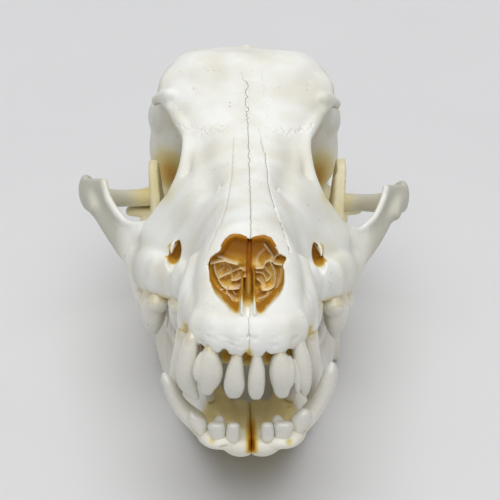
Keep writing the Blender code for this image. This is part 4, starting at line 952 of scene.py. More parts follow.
# %% Sizes of the front teeth: {h: (left edge, right edge, front, back)}
UPPER_FRONT = {
    "right": (
        ({5: (1.3, 3.2, 1.8, 5.0), -0.8: (1.2, 3.1, 1.2, 5.2), -2: (0.9, 3.5, 0.8, 5.6), -4.3: (0.5, 4.15, 0.5, 5.8),
          -7.4: (0.05, 4.5, 0.5, 5.6), -10.8: (0.0, 4.4, 1.2, 5.0), -12.8: (0.4, 4.0, 2.0, 4.6),
          -13.9: (1.1, 3.3, 2.7, 4.2)},),
        ({4: (7.2, 9.4, 3.0, 6.6), 0: (7.4, 9.2, 2.4, 6.8), -1: (7.0, 9.6, 2.0, 7.2), -2.9: (6.0, 10.6, 1.6, 7.4),
          -5.6: (5.5, 11.2, 1.5, 7.4), -8.8: (5.8, 11.4, 2.0, 7.0), -11: (6.5, 11.2, 2.8, 6.4),
          -12.6: (7.0, 11, 3.5, 6.2), -13.8: (7.9, 10.3, 4.1, 5.7)},
         {-2.4: (9.6, 11.2, 3.5, 6.5), -4.5: (9.8, 12.2, 3, 7), -7.8: (10, 12.3, 3, 7), -10: (10.4, 12.0, 3.6, 6.4),
          -11: (10.9, 11.6, 4.4, 5.8)},
         {-3.4: (11.8, 12.8, 6, 8.6), -6: (11.8, 13.8, 5.5, 9), -10: (12, 14.3, 5.5, 9), -12.4: (12.4, 14, 6, 8.4),
          -13.2: (12.9, 13.5, 6.6, 7.8)}),
        ({7: (12, 13.6, 8, 10.5), 2.4: (12, 14, 6.4, 11), 1.2: (11.4, 14.7, 5.6, 11.2), -0.4: (11.3, 15.2, 5.4, 11.4),
          -4: (11.6, 16.5, 5.2, 11.6), -8.4: (12.4, 17.1, 5.6, 11.4), -12: (13.4, 16.8, 6.6, 10.8),
          -13.8: (14.3, 16.2, 7.8, 10), -14.6: (15.1, 15.7, 8.4, 9.6)},),
    ),
    "left": (
        ({5: (-3.4, -1.6, 1.8, 5.0), -0.8: (-3.7, -1.7, 1.2, 5.2), -2: (-4.3, -1.5, 0.8, 5.6),
          -4.8: (-5.3, -1.2, 0.5, 5.8), -7.7: (-6.0, -0.9, 0.5, 5.6), -9.6: (-6.3, -0.7, 0.8, 5.2),
          -11: (-6.2, -0.8, 1.2, 5.0), -12.6: (-5.7, -1.4, 2.0, 4.6),
          -13.7: (-4.9, -2.2, 2.7, 4.2)},),
        ({4: (-10.8, -9, 3, 6.6), 0.4: (-11, -9.2, 2.4, 6.8), -0.6: (-11.5, -8.6, 2, 7.2), -2: (-12.1, -7.8, 1.6, 7.4),
          -4.9: (-12.9, -6.7, 1.5, 7.4), -7: (-13, -6.4, 1.7, 7.2), -9.8: (-12.7, -7, 2.6, 6.6),
          -12.2: (-12.3, -8.7, 3.5, 6.2), -13.4: (-11.6, -9.5, 4.1, 5.6)},
         {-1.8: (-12.6, -11.4, 3.6, 6.4), -4: (-13.9, -11.6, 3, 7), -6.6: (-14.5, -12, 3, 7),
          -8.6: (-14.2, -12, 3.5, 6.6), -9.8: (-13.5, -12.6, 4.4, 5.8)}),
        ({7: (-15, -13.2, 8, 10.5), 3: (-15.7, -13.2, 6.4, 11), 2: (-16.2, -13, 5.6, 11.2),
          0.4: (-17, -12.9, 5.4, 11.4), -3.8: (-18.1, -13, 5.2, 11.6), -7.8: (-18.9, -13.2, 5.6, 11.4),
          -11.1: (-18.6, -13.2, 6.6, 10.8), -13.6: (-17.2, -12.9, 7.6, 10.2), -15.3: (-15, -12.4, 8.2, 9.8),
          -16: (-13.7, -12.6, 8.6, 9.4)},),
    ),
}
LOWER_FRONT = {
    "right": (
        ({-17: (3.1, 5.1, 4.4, 7), -15.2: (2.7, 5.6, 3.4, 6.4), -14.2: (2.5, 5.8, 2.9, 6.3),
          -12.6: (2.3, 6.0, 2.5, 6.2), -11: (2.4, 5.8, 2.2, 5.8), -10.1: (2.5, 5.7, 2.3, 5.2),
          -9.6: (3.0, 5.2, 2.7, 4.4)},),
        ({-17.4: (6.6, 9.6, 5.5, 8), -15.3: (6.2, 10.1, 4.2, 8), -14: (5.9, 10.6, 3.6, 8), -12.6: (5.8, 10.9, 3.3, 7.8),
          -11.2: (5.6, 11.3, 3.2, 7.4), -10.4: (5.9, 10.9, 3.4, 6.6), -9.9: (6.6, 10, 3.9, 5.8)},
         {-11.5: (5.3, 8.8, 5.5, 9.4), -10.2: (5.5, 8.3, 6, 9.2), -9.4: (5.9, 7.7, 6.8, 8.8),
          -9.1: (6.4, 7.2, 7.4, 8.2)}),
        ({-17: (12.2, 13.6, 8, 10.6), -14.8: (11.6, 13.4, 7, 10.8), -13.5: (10.8, 14.2, 6.4, 10.8),
          -11.4: (10.2, 15.7, 6, 10.6), -9.6: (11, 16, 6.2, 10.2), -8.3: (12.3, 15.7, 6.8, 9.6),
          -7.5: (13.1, 14.7, 7.6, 9)},),
    ),
    "left": (
        ({-17: (-6.1, -3.9, 4.4, 7), -15.2: (-6.5, -3.4, 3.4, 6.4), -14.2: (-6.7, -3.2, 2.9, 6.3),
          -12.6: (-6.9, -3, 2.5, 6.2), -11: (-6.6, -3.1, 2.2, 5.8), -10.1: (-6.5, -3.1, 2.3, 5.2),
          -9.6: (-6.0, -3.8, 2.7, 4.4)},),
        ({-17.4: (-10, -7.2, 5.5, 8), -15.3: (-10.5, -7, 4.2, 8), -13.8: (-11, -6.8, 3.6, 8),
          -12.2: (-11.5, -6.6, 3.3, 7.8), -11: (-11.8, -6.7, 3.2, 7.4), -10.4: (-11.4, -6.9, 3.4, 6.6),
          -9.9: (-10.4, -7.8, 3.9, 5.8)},
         {-11.5: (-10, -6.8, 5.5, 9.4), -10.2: (-9.8, -7.1, 6, 9.2), -9.4: (-9.2, -7.5, 6.8, 8.8),
          -9.1: (-8.8, -7.9, 7.4, 8.2)}),
        ({-17: (-13.8, -12.4, 8, 10.6), -15: (-13.8, -12.2, 7, 10.8), -13.5: (-15.2, -11.8, 6.4, 10.8),
          -11.6: (-16.6, -11.6, 6, 10.6), -9.8: (-17, -12.8, 6.2, 10.2), -8.5: (-16.7, -14.9, 6.8, 9.6),
          -7.9: (-16.2, -15.4, 7.6, 9)},),
    ),
}

# %% Sizes of the canines: (u, x, h, half width, half depth), from the root to the tip
UPPER_CANINES = {
    "right": ((24, 15.2, 6, 2.2, 3.6), (22.5, 16.1, 1, 2.8, 4.8), (21.5, 16.5, -3, 2.9, 4.9), (21, 17.4, -8, 2.6, 4.4),
              (21, 17.8, -12, 2.3, 3.7), (21.4, 17.9, -16, 1.9, 2.7), (22, 17.6, -19, 1.1, 1.4)),
    "left": ((24, 15.2, 6, 2.2, 3.6), (22.5, 16.2, 1, 2.8, 4.8), (21.5, 16.7, -3, 2.9, 4.9), (21, 17.9, -9, 2.6, 4.4),
             (21, 18.6, -12.5, 2.3, 3.7), (21.4, 18.8, -16.5, 1.9, 2.7), (22, 18.5, -19.5, 1.1, 1.4)),
}
LOWER_CANINES = {
    "right": ((14, 11.4, -17, 2.4, 3.8), (13.4, 13.6, -13.6, 2.7, 4.2), (12.8, 15.8, -10.8, 2.6, 4.0),
              (12.2, 18.2, -7.0, 2.4, 3.5), (12, 20.0, -3.2, 2.3, 2.9), (12, 20.9, -0.4, 2.2, 2.3),
              (12.3, 21.4, 1.8, 1.9, 1.8), (12.5, 21.6, 3.0, 1.3, 1.2)),
    "left": ((14, 12.0, -17, 2.4, 3.8), (13.4, 14.4, -13.4, 2.7, 4.2), (12.8, 16.6, -11.0, 2.5, 4.0),
             (12.2, 18.9, -8.2, 2.2, 3.5), (12, 20.7, -4.8, 1.95, 2.9), (12, 21.9, -1.9, 1.75, 2.3),
             (12.3, 22.8, -0.2, 1.5, 1.7), (12.5, 23.1, 0.7, 1.0, 1.1)),
}

# %% Sizes of the cheek teeth: (u, x, h, height, length, width), and cusps: (place, share of height, share of length)
UPPER_PREMOLARS = ((29.5, 15.6, 1, 5, 5, 3.4), (39.5, 16.4, 1, 7, 9.5, 4.2), (52.5, 19.8, 0, 8.5, 11.5, 5))
UPPER_CARNASSIAL = (69, 27.8, -1.4, 12.4, 18.5, 7.4)
UPPER_MOLARS = ((84.5, 26.6, 0.2, 5.6, 10.5, 13.5), (94.5, 25, 1.6, 3.8, 6.6, 9.5))
LOWER_PREMOLARS = (
    (25, 11.4, -11.2, 4, 4.4, 3.2), (34.5, 12.4, -11.2, 5.6, 8, 4), (45, 14.6, -11.4, 7, 9.6, 4.4),
    (57, 17, -11.4, 8.4, 11, 5),
)
LOWER_CARNASSIAL = (77.5, 21, -11.2, 11.0, 20.5, 6.6)
LOWER_MOLARS = ((93, 23.8, -9.6, 4.4, 8.4, 6), (100.5, 25.2, -8.6, 2.8, 4.4, 4))
PREMOLAR_CUSPS = ((0.02, 1.0, 0.78), (0.3, 0.45, 0.42), (-0.3, 0.35, 0.42))
UPPER_CARNASSIAL_CUSPS = ((-0.08, 1.0, 0.6), (0.3, 0.66, 0.46), (-0.36, 0.36, 0.34))
LOWER_CARNASSIAL_CUSPS = ((-0.3, 0.72, 0.42), (0.0, 1.0, 0.46), (0.34, 0.46, 0.38))
MOLAR_CUSPS = ((-0.2, 1.0, 0.62), (0.22, 0.9, 0.6))


# %% Make the teeth
def incisor(name, parts, jaw):
    """A front tooth. jaw is -1 for a crown that points down and 1 for up."""
    heights = sorted(parts[0], reverse=jaw < 0)
    neck, tip = ((np.mean(parts[0][h][2:]), np.mean(parts[0][h][:2]), h) for h in (heights[1], heights[-1]))
    return tooth(name, [crown(levels) for levels in parts], neck, tip)


def canine(name, stations, side):
    hook = bar("hook", stations, side, up=(1, 0, 0), count=28)
    neck, tip = (np.array(stations[i][:3]) * (1, side, 1) for i in (1, -1))
    return tooth(name, [hook], neck, tip)


def blade(name, size, jaw, side, row, cusps):
    """A cheek tooth: cones along the row, each (place along, height, share of the length)."""
    u, x, h, height, length, width = size
    row = np.array(row, float) / np.linalg.norm(row)
    middle = np.array((u, x * side, h))
    lobes = []
    for place, tall, share in cusps:
        neck = middle + row * place * length
        lobes.append(lobe(neck, neck + (0, 0, jaw * height * tall), length * share, width, row))
    return tooth(name, lobes, middle, middle + (0, 0, jaw * height))


upper_teeth, lower_teeth = [], []
for side_name, side in (("right", 1), ("left", -1)):
    for i, parts in enumerate(UPPER_FRONT[side_name], 1):
        upper_teeth.append(incisor(f"upper_incisor_{i}_{side_name}", parts, -1))
    upper_teeth.append(canine(f"upper_canine_{side_name}", UPPER_CANINES[side_name], side))
    for i, size in enumerate(UPPER_PREMOLARS, 1):
        upper_teeth.append(blade(f"upper_premolar_{i}_{side_name}", size, -1, side, (1, 0.15 * side, 0),
                                 PREMOLAR_CUSPS))
    upper_teeth.append(blade(f"upper_carnassial_{side_name}", UPPER_CARNASSIAL, -1, side, (1, 0.32 * side, 0),
                             UPPER_CARNASSIAL_CUSPS))
    for i, size in enumerate(UPPER_MOLARS, 1):
        upper_teeth.append(blade(f"upper_molar_{i}_{side_name}", size, -1, side, (1, -0.25 * side, 0), MOLAR_CUSPS))
    for i, parts in enumerate(LOWER_FRONT[side_name], 1):
        lower_teeth.append(incisor(f"lower_incisor_{i}_{side_name}", parts, 1))
    lower_teeth.append(canine(f"lower_canine_{side_name}", LOWER_CANINES[side_name], side))
    for i, size in enumerate(LOWER_PREMOLARS, 1):
        lower_teeth.append(blade(f"lower_premolar_{i}_{side_name}", size, 1, side, (1, 0.2 * side, 0), PREMOLAR_CUSPS))
    lower_teeth.append(blade(f"lower_carnassial_{side_name}", LOWER_CARNASSIAL, 1, side, (1, 0.2 * side, 0),
                             LOWER_CARNASSIAL_CUSPS))
    for i, size in enumerate(LOWER_MOLARS, 1):
        lower_teeth.append(blade(f"lower_molar_{i}_{side_name}", size, 1, side, (1, 0.2 * side, 0), MOLAR_CUSPS))
bpy.data.objects.remove(cone)
print("teeth:", len(upper_teeth), "above and", len(lower_teeth), "below")

# %% [markdown]
# ## Bones inside the nose
#
# A thin wall parts the nose in two, and each half is packed with a scrolled bone whose leaves carried the lining
# of the living nose. From in front only the pale edges of the leaves show, over amber pockets. So each scroll is
# made as a repoussé sheet: a fine grid across the nose, pushed forward into thin ridges along the leaves' lines
# and back into pockets between them, then given a body behind. Two thin plates of bone hold the wall's foot.

# %% Sizes of the wall, the plates and the leaves
SEPTUM = ((14, 8.6), (26, 9.4), (42, 10.4), (44.5, 12), (44.5, 27.6), (34, 27), (24, 26.4), (21, 25), (20, 16),
          (15, 12))
# The wall's layers: (x, how far its front edge is set back), which rounds that edge.
SEPTUM_LAYERS = ((-1.15, 3.5), (-0.7, 0.9), (0, 0), (0.7, 0.9), (1.15, 3.5))
SPINE_PLATES = (
    ((3.2, -1.95, 8.6, 0.45, 1.0), (6, -1.95, 10.4, 0.42, 1.8), (10, -1.9, 12, 0.36, 2.2), (16, -1.8, 14, 0.3, 2.6),
     (26, -1.7, 15, 0.3, 3.2)),
    ((3.2, 1.35, 8.6, 0.5, 1.0), (6, 1.3, 10.4, 0.45, 1.8), (10, 1.3, 12, 0.38, 2.2), (16, 1.3, 14, 0.3, 2.6),
     (26, 1.3, 15, 0.3, 3.2)),
)
# Leaves as lines of (x, h) seen from in front, each with the depth at which its front edge lies.
LEAVES = {
    "left": (
        (18, (-10.4, 18.8), (-6.7, 19.7), (-5.5, 19.4), (-3.1, 18.8)), (19.5, (-8.4, 20.6), (-6.9, 20.2), (-4.7, 19.3)),
        (18.5, (-9.4, 19.2), (-9.0, 16.7), (-8.3, 15.1), (-7.8, 13.9), (-7.0, 12.9), (-5.6, 12.3)),
        (21, (-8.4, 16.1), (-7.3, 16.9), (-6.7, 17.7), (-6.9, 19.2)),
        (20, (-6.4, 19.6), (-4.9, 17.5), (-4.8, 16.2), (-4.4, 14.4), (-4.5, 13.6)),
        (19, (-8.1, 14.7), (-6.0, 15.8), (-4.9, 16.2)), (20, (-4.8, 16.2), (-3.2, 17.0), (-2.0, 17.3), (-1.2, 16.6)),
        (19.5, (-4.6, 14.1), (-3.1, 14.3), (-1.7, 15.0), (-0.9, 15.2)),
        (20.5, (-5.8, 12.4), (-3.7, 12.2), (-2.5, 12.7), (-1.9, 13.4), (-1.4, 14.8)),
        (18, (-7.0, 12.9), (-5.9, 12.0), (-5.7, 10.9), (-4.9, 9.9), (-4.3, 8.8), (-4.5, 7.0)),
        (18.5, (-5.8, 12.0), (-4.3, 11.9), (-2.5, 12.1)), (19, (-4.4, 12.0), (-4.0, 11.2), (-3.4, 10.3)),
        (19, (-7.6, 9.8), (-6.3, 10.5), (-5.6, 10.9)), (18.5, (-9.4, 11.1), (-6.7, 11.9), (-5.8, 12.0)),
        (23, (-7.6, 18.6), (-5.6, 17.0), (-6.4, 14.4)), (23, (-3.2, 16.8), (-2.6, 15.6), (-3.4, 13.0)),
        (21, (-5.0, 10.0), (-3.4, 9.4), (-2.6, 8.4)),
    ),
    "right": (
        (20, (4.0, 24.2), (5.3, 22.4), (6.1, 21.3), (6.6, 20.0)), (20, (7.9, 22.2), (6.9, 20.5), (6.0, 19.8)),
        (18, (5.9, 20.0), (7.1, 19.1), (9.9, 18.8)),
        (19, (5.9, 20.0), (4.7, 19.5), (4.1, 18.7), (3.7, 17.8), (1.9, 17.6)),
        (20, (4.1, 18.4), (4.9, 16.8), (5.9, 15.5), (5.3, 14.4), (4.7, 13.9)),
        (18, (5.6, 19.8), (6.7, 17.1), (7.0, 15.2), (6.8, 13.1), (5.4, 12.1), (3.7, 11.9)),
        (20, (1.9, 16.4), (3.7, 16.1), (4.5, 14.7), (4.7, 13.9)), (20, (2.3, 14.4), (3.1, 13.8), (3.8, 12.4)),
        (18, (5.5, 12.2), (5.0, 10.6), (4.7, 9.0), (3.9, 7.0)), (18.5, (5.0, 10.5), (3.9, 9.8), (2.8, 9.2)),
        (19, (5.1, 11.0), (5.9, 9.9), (6.6, 9.6)), (20.5, (2.6, 10.9), (3.8, 11.3), (4.6, 12.0)),
        (21, (8.6, 18.9), (8.4, 15.6), (7.4, 12.6)), (23, (4.0, 22.6), (2.4, 20.6), (2.0, 18.4)),
        (23, (5.2, 17.4), (3.4, 15.4), (4.4, 12.6)), (22, (6.8, 15.4), (8.2, 14.6)),
    ),
}
LEAF_EDGE, LEAF_FRONT = 0.3, 18
POCKET_REACH, POCKET_STEP, POCKET_FLOOR = 1.5, 1.6, 22.0
WALL_DEPTH, WALL_SLOPE = 18.6, 1.6
UPPER_SCROLL = ((5.2, 24.6), 3.4, 1.6)
SCROLL_BOX = (0.6, 10.4, 7.6, 27.0)
SCROLL_BACK = 38
SCROLL_STEP = 0.17 if FINE else 0.3


# %% Keep the sheet inside the nose
def keep_inside(x, h):
    """Bring points (x, h) that lie outside the rim of the nose back to just outside it."""
    inside = np.zeros(x.shape, bool)
    for (x0, h0), (x1, h1) in zip(rim, np.roll(rim, -1, axis=0)):
        if h0 != h1:
            inside ^= ((h0 > h) != (h1 > h)) & (x < (x1 - x0) * (h - h0) / (h1 - h0) + x0)
    best, near_x, near_h = np.full(x.shape, 1e9), x.copy(), h.copy()
    for (x0, h0), (x1, h1) in zip(rim, np.roll(rim, -1, axis=0)):
        t = np.clip(((x - x0) * (x1 - x0) + (h - h0) * (h1 - h0)) / max(1e-9, (x1 - x0) ** 2 + (h1 - h0) ** 2), 0, 1)
        px, ph = x0 + t * (x1 - x0), h0 + t * (h1 - h0)
        away = np.hypot(x - px, h - ph)
        closer = away < best
        best, near_x, near_h = np.where(closer, away, best), np.where(closer, px, near_x), np.where(closer, ph, near_h)
    pull = np.where(inside | (best < 0.5), 1.0, 0.5 / np.maximum(best, 0.5))
    return near_x + (x - near_x) * pull, near_h + (h - near_h) * pull, np.where(inside, best, 0.0)


# %% Push the scrolls out of a sheet
def scroll(name, leaves, side):
    """The relief of one half of the nose: ridges along the leaves, pockets between them, and a body behind."""
    left, right, low, high = SCROLL_BOX
    columns, rows = int((right - left) / SCROLL_STEP), int((high - low) / SCROLL_STEP)
    deselect()
    bpy.ops.mesh.primitive_grid_add(x_subdivisions=columns, y_subdivisions=rows, size=1)
    sheet = bpy.context.object
    sheet.name = sheet.data.name = name
    x, h = np.meshgrid(np.linspace(left, right, columns + 1) * side, np.linspace(low, high, rows + 1))
    x, h, from_wall = keep_inside(x, h)
    places = np.stack([0 * x, x, h], axis=2).reshape(-1, 3)
    depth = np.full(len(places), POCKET_FLOOR)
    edge = np.zeros(len(places))
    for front, *line in leaves:
        line = along(dict(enumerate(line)), np.linspace(0, len(line) - 1, (len(line) - 1) * 4 + 1))
        away = distance_to(places, np.concatenate([np.zeros((len(line), 1)), line], axis=1))
        pocket = POCKET_FLOOR - (POCKET_FLOOR - front - POCKET_STEP) * np.exp(-(away / POCKET_REACH) ** 2)
        ridge = front + (POCKET_FLOOR - front) * (1 - np.exp(-(away / LEAF_EDGE) ** 4))
        depth = np.minimum(depth, np.minimum(pocket, ridge))
        # Deeper leaves are less pale.
        edge = np.maximum(edge, np.exp(-(away / (LEAF_EDGE * 1.15)) ** 2) * (1 - (front - LEAF_FRONT) / 9))
    depth = np.minimum(depth, WALL_DEPTH + WALL_SLOPE * from_wall.ravel() ** 1.5)
    (bulge_x, bulge_h), bulge_reach, bulge = UPPER_SCROLL
    depth -= bulge * np.exp(-((places[:, 1] * side - bulge_x) ** 2 + (places[:, 2] - bulge_h) ** 2) / bulge_reach ** 2)
    points = np.stack([places[:, 1], depth, places[:, 2]], axis=1)
    sheet.data.vertices.foreach_set("co", (points * MM).ravel())
    store(sheet, "leaf_edge", edge)
    store(sheet, "to_roof", soft_step(17.5, 22.5, places[:, 2]))
    with editing():
        bpy.ops.mesh.extrude_region_move(TRANSFORM_OT_translate={"value": (0, 14 * MM, 0)})
        bpy.ops.transform.resize(value=(0.9, 0, 0.94), center_override=(0, SCROLL_BACK * MM, 18 * MM))
        bpy.ops.mesh.select_all(action="SELECT")
        bpy.ops.mesh.remove_doubles(threshold=0.02 * MM)
        bpy.ops.mesh.normals_make_consistent(inside=False)
    print(name, count_triangles(sheet), "triangles")
    return sheet


# %% Make the bones of the nose
layers = [[(u + (u < 30) * back, x, h) for u, h in SEPTUM] for x, back in SEPTUM_LAYERS]
septum = fuse("nose_septum", [tube("septum", layers)], 0.35, 9)
place = points_of(septum)
store(septum, "to_foot", 1 - soft_step(10.5, 17.5, place[:, 2]))
store(septum, "to_side", soft_step(0.35, 1.0, np.abs(place[:, 1])))
spine = fuse("nose_spine", [bar("plate", stations) for stations in SPINE_PLATES], 0.22 if FINE else 0.35, 2)
store(spine, "stain", 0.05 + 0.72 * soft_step(4, 8.6, points_of(spine)[:, 0]))
store_no_seams(spine)
scrolls = {side: scroll(f"nose_scroll_{side_name}", LEAVES[side_name], side)
           for side_name, side in (("right", 1), ("left", -1))}

# %% [markdown]
# ## Set the skull down
#
# The pieces take their resting place, and the lower jaw is worn flat where it touches the table, so that it
# stands on two small flats.

# %% Place every piece
nose_bones = [septum, *scrolls.values()]
upper_pieces = [cranium, spine, *upper_teeth]
lower_pieces = [*jaws.values(), *lower_teeth]
for pieces, placement in ((nose_bones + upper_pieces, CRANIUM), (lower_pieces, LOWER_JAW)):
    for piece in pieces:
        pick(piece)
        piece.matrix_world = placement
        bpy.ops.object.transform_apply(location=True, rotation=True, scale=True)
for half in jaws.values():
    pick(half)
    with editing():
        bpy.ops.mesh.bisect(plane_co=(0, 0, 0), plane_no=(0, 0, 1), use_fill=True, clear_inner=True)
print("pieces set down:", len(nose_bones + upper_pieces + lower_pieces))

# %% Hide the imported parts that the new pieces replace, and hang the pieces on the root body, smooth-shaded
CRANIUM_NODES = ("braincase", "frontal", "occipital", "skull_base", "maxilla", "premaxilla", "nasal_bones",
                 "zygomatic_arch_left", "zygomatic_arch_right", "tympanic_bulla_left", "tympanic_bulla_right")
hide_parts(*CRANIUM_NODES)
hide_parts("nasal_septum")
for side_name, side in (("right", 1), ("left", -1)):
    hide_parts(f"mandible_{side_name}")
    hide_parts(f"turbinate_{side_name}")
for slot, pieces in (("bone", upper_pieces), ("jaw_bone", lower_pieces), ("thin_bone", nose_bones)):
    for piece in pieces:
        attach(piece, "root")
        piece.data.shade_smooth()

# %% [markdown]
# ## Materials
#
# Bone that was boiled, degreased and bleached is a chalky satin white, warmer in soft patches about a
# centimetre across, with a grain under a millimetre and scattered pores. Where the stain is stored it runs
# through straw to amber and dark brown. Each material is a short chain of nodes on the object's own coordinates,
# so it stays on the surface in every view.

# %% Mix materials from nodes
def linear(code):
    """An sRGB hex colour in linear light."""
    parts = [int(code[i:i + 2], 16) / 255 for i in (1, 3, 5)]
    return (*(c / 12.92 if c <= 0.04045 else ((c + 0.055) / 1.055) ** 2.4 for c in parts), 1.0)


def new_material(name):
    material = bpy.data.materials.new(name)
    material.use_nodes = True
    return material, material.node_tree.nodes["Principled BSDF"]


def plug(node, inputs):
    """Give a node its inputs: fixed values, or outputs of other nodes."""
    for key, value in inputs.items():
        if isinstance(value, bpy.types.NodeSocket):
            node.id_data.links.new(value, node.inputs[key])
        else:
            node.inputs[key].default_value = value


def add(shader, kind, out=0, inputs=None, stops=(), **settings):
    """Add a node beside a shader and give one of its outputs: settings are its own choices, stops a ramp's colours."""
    node = shader.id_data.nodes.new(kind)
    for key, value in settings.items():
        setattr(node, key, value)
    for i, (place, colour) in enumerate(stops):
        stop = node.color_ramp.elements[i] if i < 2 else node.color_ramp.elements.new(1.0)
        stop.position, stop.color = place, linear(colour)
    plug(node, inputs or {})
    return node.outputs[out]


def per_metre(size_mm):
    """Scale of a pattern whose features are a number of millimetres across."""
    return 1000 / size_mm


def spread(noise, low, high):
    """Inputs of a map range that spreads the useful part of a noise between two values."""
    return {"Value": noise, "From Min": 0.3, "From Max": 0.7, "To Min": low, "To Max": high}


# %% Bleached, dry bone: chalky, warm in patches, amber where the bleach did not reach
STAIN_STOPS = ((0.0, "#EFEBDC"), (0.25, "#E6DAA6"), (0.5, "#DAC276"), (0.7, "#D0A038"), (0.86, "#B8801A"),
               (1.0, "#8E560C"))
# Seams: (attribute, colour, half width in mm). Their bends and pores are wider than real ones, so that they show.
SEAM_LOOKS = (("seam", "#6E5A32", 0.15), ("faint_seam", "#BCB090", 0.11))


def make_bone(name, clean, warm):
    material, bone = new_material(name)
    place = add(bone, "ShaderNodeTexCoord", "Object")
    patches = add(bone, "ShaderNodeTexNoise", "Fac", {"Vector": place, "Scale": per_metre(13), "Detail": 3.0})
    grain = add(bone, "ShaderNodeTexNoise", "Fac", {"Vector": place, "Scale": per_metre(0.9), "Detail": 4.0})
    body = add(bone, "ShaderNodeValToRGB", "Color", {"Fac": patches}, ((0.36, clean), (0.66, warm)))

    # The stored stain, made uneven by both noises where there is any, runs from straw to brown.
    stored = add(bone, "ShaderNodeAttribute", "Fac", attribute_name="stain")
    uneven = add(bone, "ShaderNodeMapRange", 0, spread(grain, -0.07, 0.07))
    wide = add(bone, "ShaderNodeMapRange", 0, spread(patches, -0.1, 0.1))
    shift = add(bone, "ShaderNodeMath", 0, {0: uneven, 1: wide}, operation="ADD")
    shift = add(bone, "ShaderNodeMath", 0, {0: shift, 1: stored}, operation="MULTIPLY")
    depth = add(bone, "ShaderNodeMath", 0, {0: stored, 1: shift}, operation="ADD")
    amber = add(bone, "ShaderNodeValToRGB", "Color", {"Fac": depth}, STAIN_STOPS)
    share = add(bone, "ShaderNodeMapRange", 0, {"Value": depth, "From Min": 0.04, "From Max": 0.3})
    colour = add(bone, "ShaderNodeMix", "Result", {"Factor": share, "A": body, "B": amber}, data_type="RGBA")

    # Pores of 0.3 mm are drawn at 0.7 mm, because smaller ones are lost at this distance.
    pores = add(bone, "ShaderNodeTexVoronoi", "Distance", {"Vector": place, "Scale": per_metre(1.5)})
    open_patch = add(bone, "ShaderNodeTexNoise", "Fac", {"Vector": place, "Scale": per_metre(7)})
    open_share = add(bone, "ShaderNodeMapRange", 0, {"Value": open_patch, "From Min": 0.6, "From Max": 0.74})
    pore = add(bone, "ShaderNodeMapRange", 0, {"Value": pores, "From Min": 0.12, "From Max": 0.3, "To Min": 1.0,
                                               "To Max": 0.0})
    pore = add(bone, "ShaderNodeMath", 0, {0: pore, 1: open_share}, operation="MULTIPLY")
    # The stored painted shade mixes in a grey where faces turn away from the light.
    dull = add(bone, "ShaderNodeAttribute", "Fac", attribute_name="dull")
    for factor, tone in ((pore, "#C9BD98"), (dull, "#C8C6B8")):
        colour = add(bone, "ShaderNodeMix", "Result", {"Factor": factor, "A": colour, "B": linear(tone)},
                     data_type="RGBA")

    # The stored distance to each seam, bent by a fine noise, draws a line of 0.3 mm that a coarse skin can't hold.
    bend = add(bone, "ShaderNodeTexNoise", "Fac", {"Vector": place, "Scale": per_metre(1.6), "Detail": 2.0})
    bend = add(bone, "ShaderNodeMapRange", 0, spread(bend, -0.08, 0.08))
    for attribute, tone, half in SEAM_LOOKS:
        offsets = add(bone, "ShaderNodeAttribute", "Vector", attribute_name=attribute)
        for axis in add(bone, "ShaderNodeSeparateXYZ", 0, {"Vector": offsets}).node.outputs:
            bent = add(bone, "ShaderNodeMath", 0, {0: axis, 1: bend}, operation="ADD")
            away = add(bone, "ShaderNodeMath", 0, {0: bent}, operation="ABSOLUTE")
            line = add(bone, "ShaderNodeMapRange", 0, {"Value": away, "From Min": half * 0.5, "From Max": half * 1.4,
                                                       "To Min": 0.75, "To Max": 0.0})
            colour = add(bone, "ShaderNodeMix", "Result", {"Factor": line, "A": colour, "B": linear(tone)},
                         data_type="RGBA")

    rough = add(bone, "ShaderNodeMapRange", 0, spread(grain, 0.44, 0.58))
    relief = add(bone, "ShaderNodeMath", 0, {0: grain, 1: pore}, operation="SUBTRACT")
    bump = add(bone, "ShaderNodeBump", "Normal", {"Height": relief, "Strength": 0.5, "Distance": 0.18 * MM})
    plug(bone, {"Base Color": colour, "Roughness": rough, "Normal": bump, "IOR": 1.5, "Specular IOR Level": 0.4})
    return material


bleached_bone = make_bone("bleached_dry_bone", "#F3F4EF", "#E6E3D6")
jaw_bone = make_bone("bleached_jaw_bone", "#F4F2EA", "#E9E4D3")
print("bone nodes:", len(bleached_bone.node_tree.nodes))

# %% Enamel: a hard glassy skin over the tooth, straw at the neck and greyer towards the tip
ENAMEL_STOPS = ((0.0, "#DCD3B6"), (0.14, "#E8E5D9"), (0.5, "#DFDCD1"), (1.0, "#D3D2CA"))
enamel, tooth_shader = new_material("tooth_enamel")
place = add(tooth_shader, "ShaderNodeTexCoord", "Object")
stored = add(tooth_shader, "ShaderNodeAttribute", "Fac", attribute_name="neck_to_tip")
cloud = add(tooth_shader, "ShaderNodeTexNoise", "Fac", {"Vector": place, "Scale": per_metre(3), "Detail": 3.0})
cloud = add(tooth_shader, "ShaderNodeMapRange", 0, spread(cloud, -0.12, 0.12))
along_tooth = add(tooth_shader, "ShaderNodeMath", 0, {0: stored, 1: cloud}, operation="ADD")
shade = add(tooth_shader, "ShaderNodeValToRGB", "Color", {"Fac": along_tooth}, ENAMEL_STOPS)
polish = add(tooth_shader, "ShaderNodeTexNoise", "Fac", {"Vector": place, "Scale": per_metre(1.2), "Detail": 2.0})
rough = add(tooth_shader, "ShaderNodeMapRange", 0, spread(polish, 0.26, 0.34))
plug(tooth_shader, {"Base Color": shade, "Roughness": rough, "IOR": 1.6, "Coat Weight": 0.3, "Coat Roughness": 0.15})

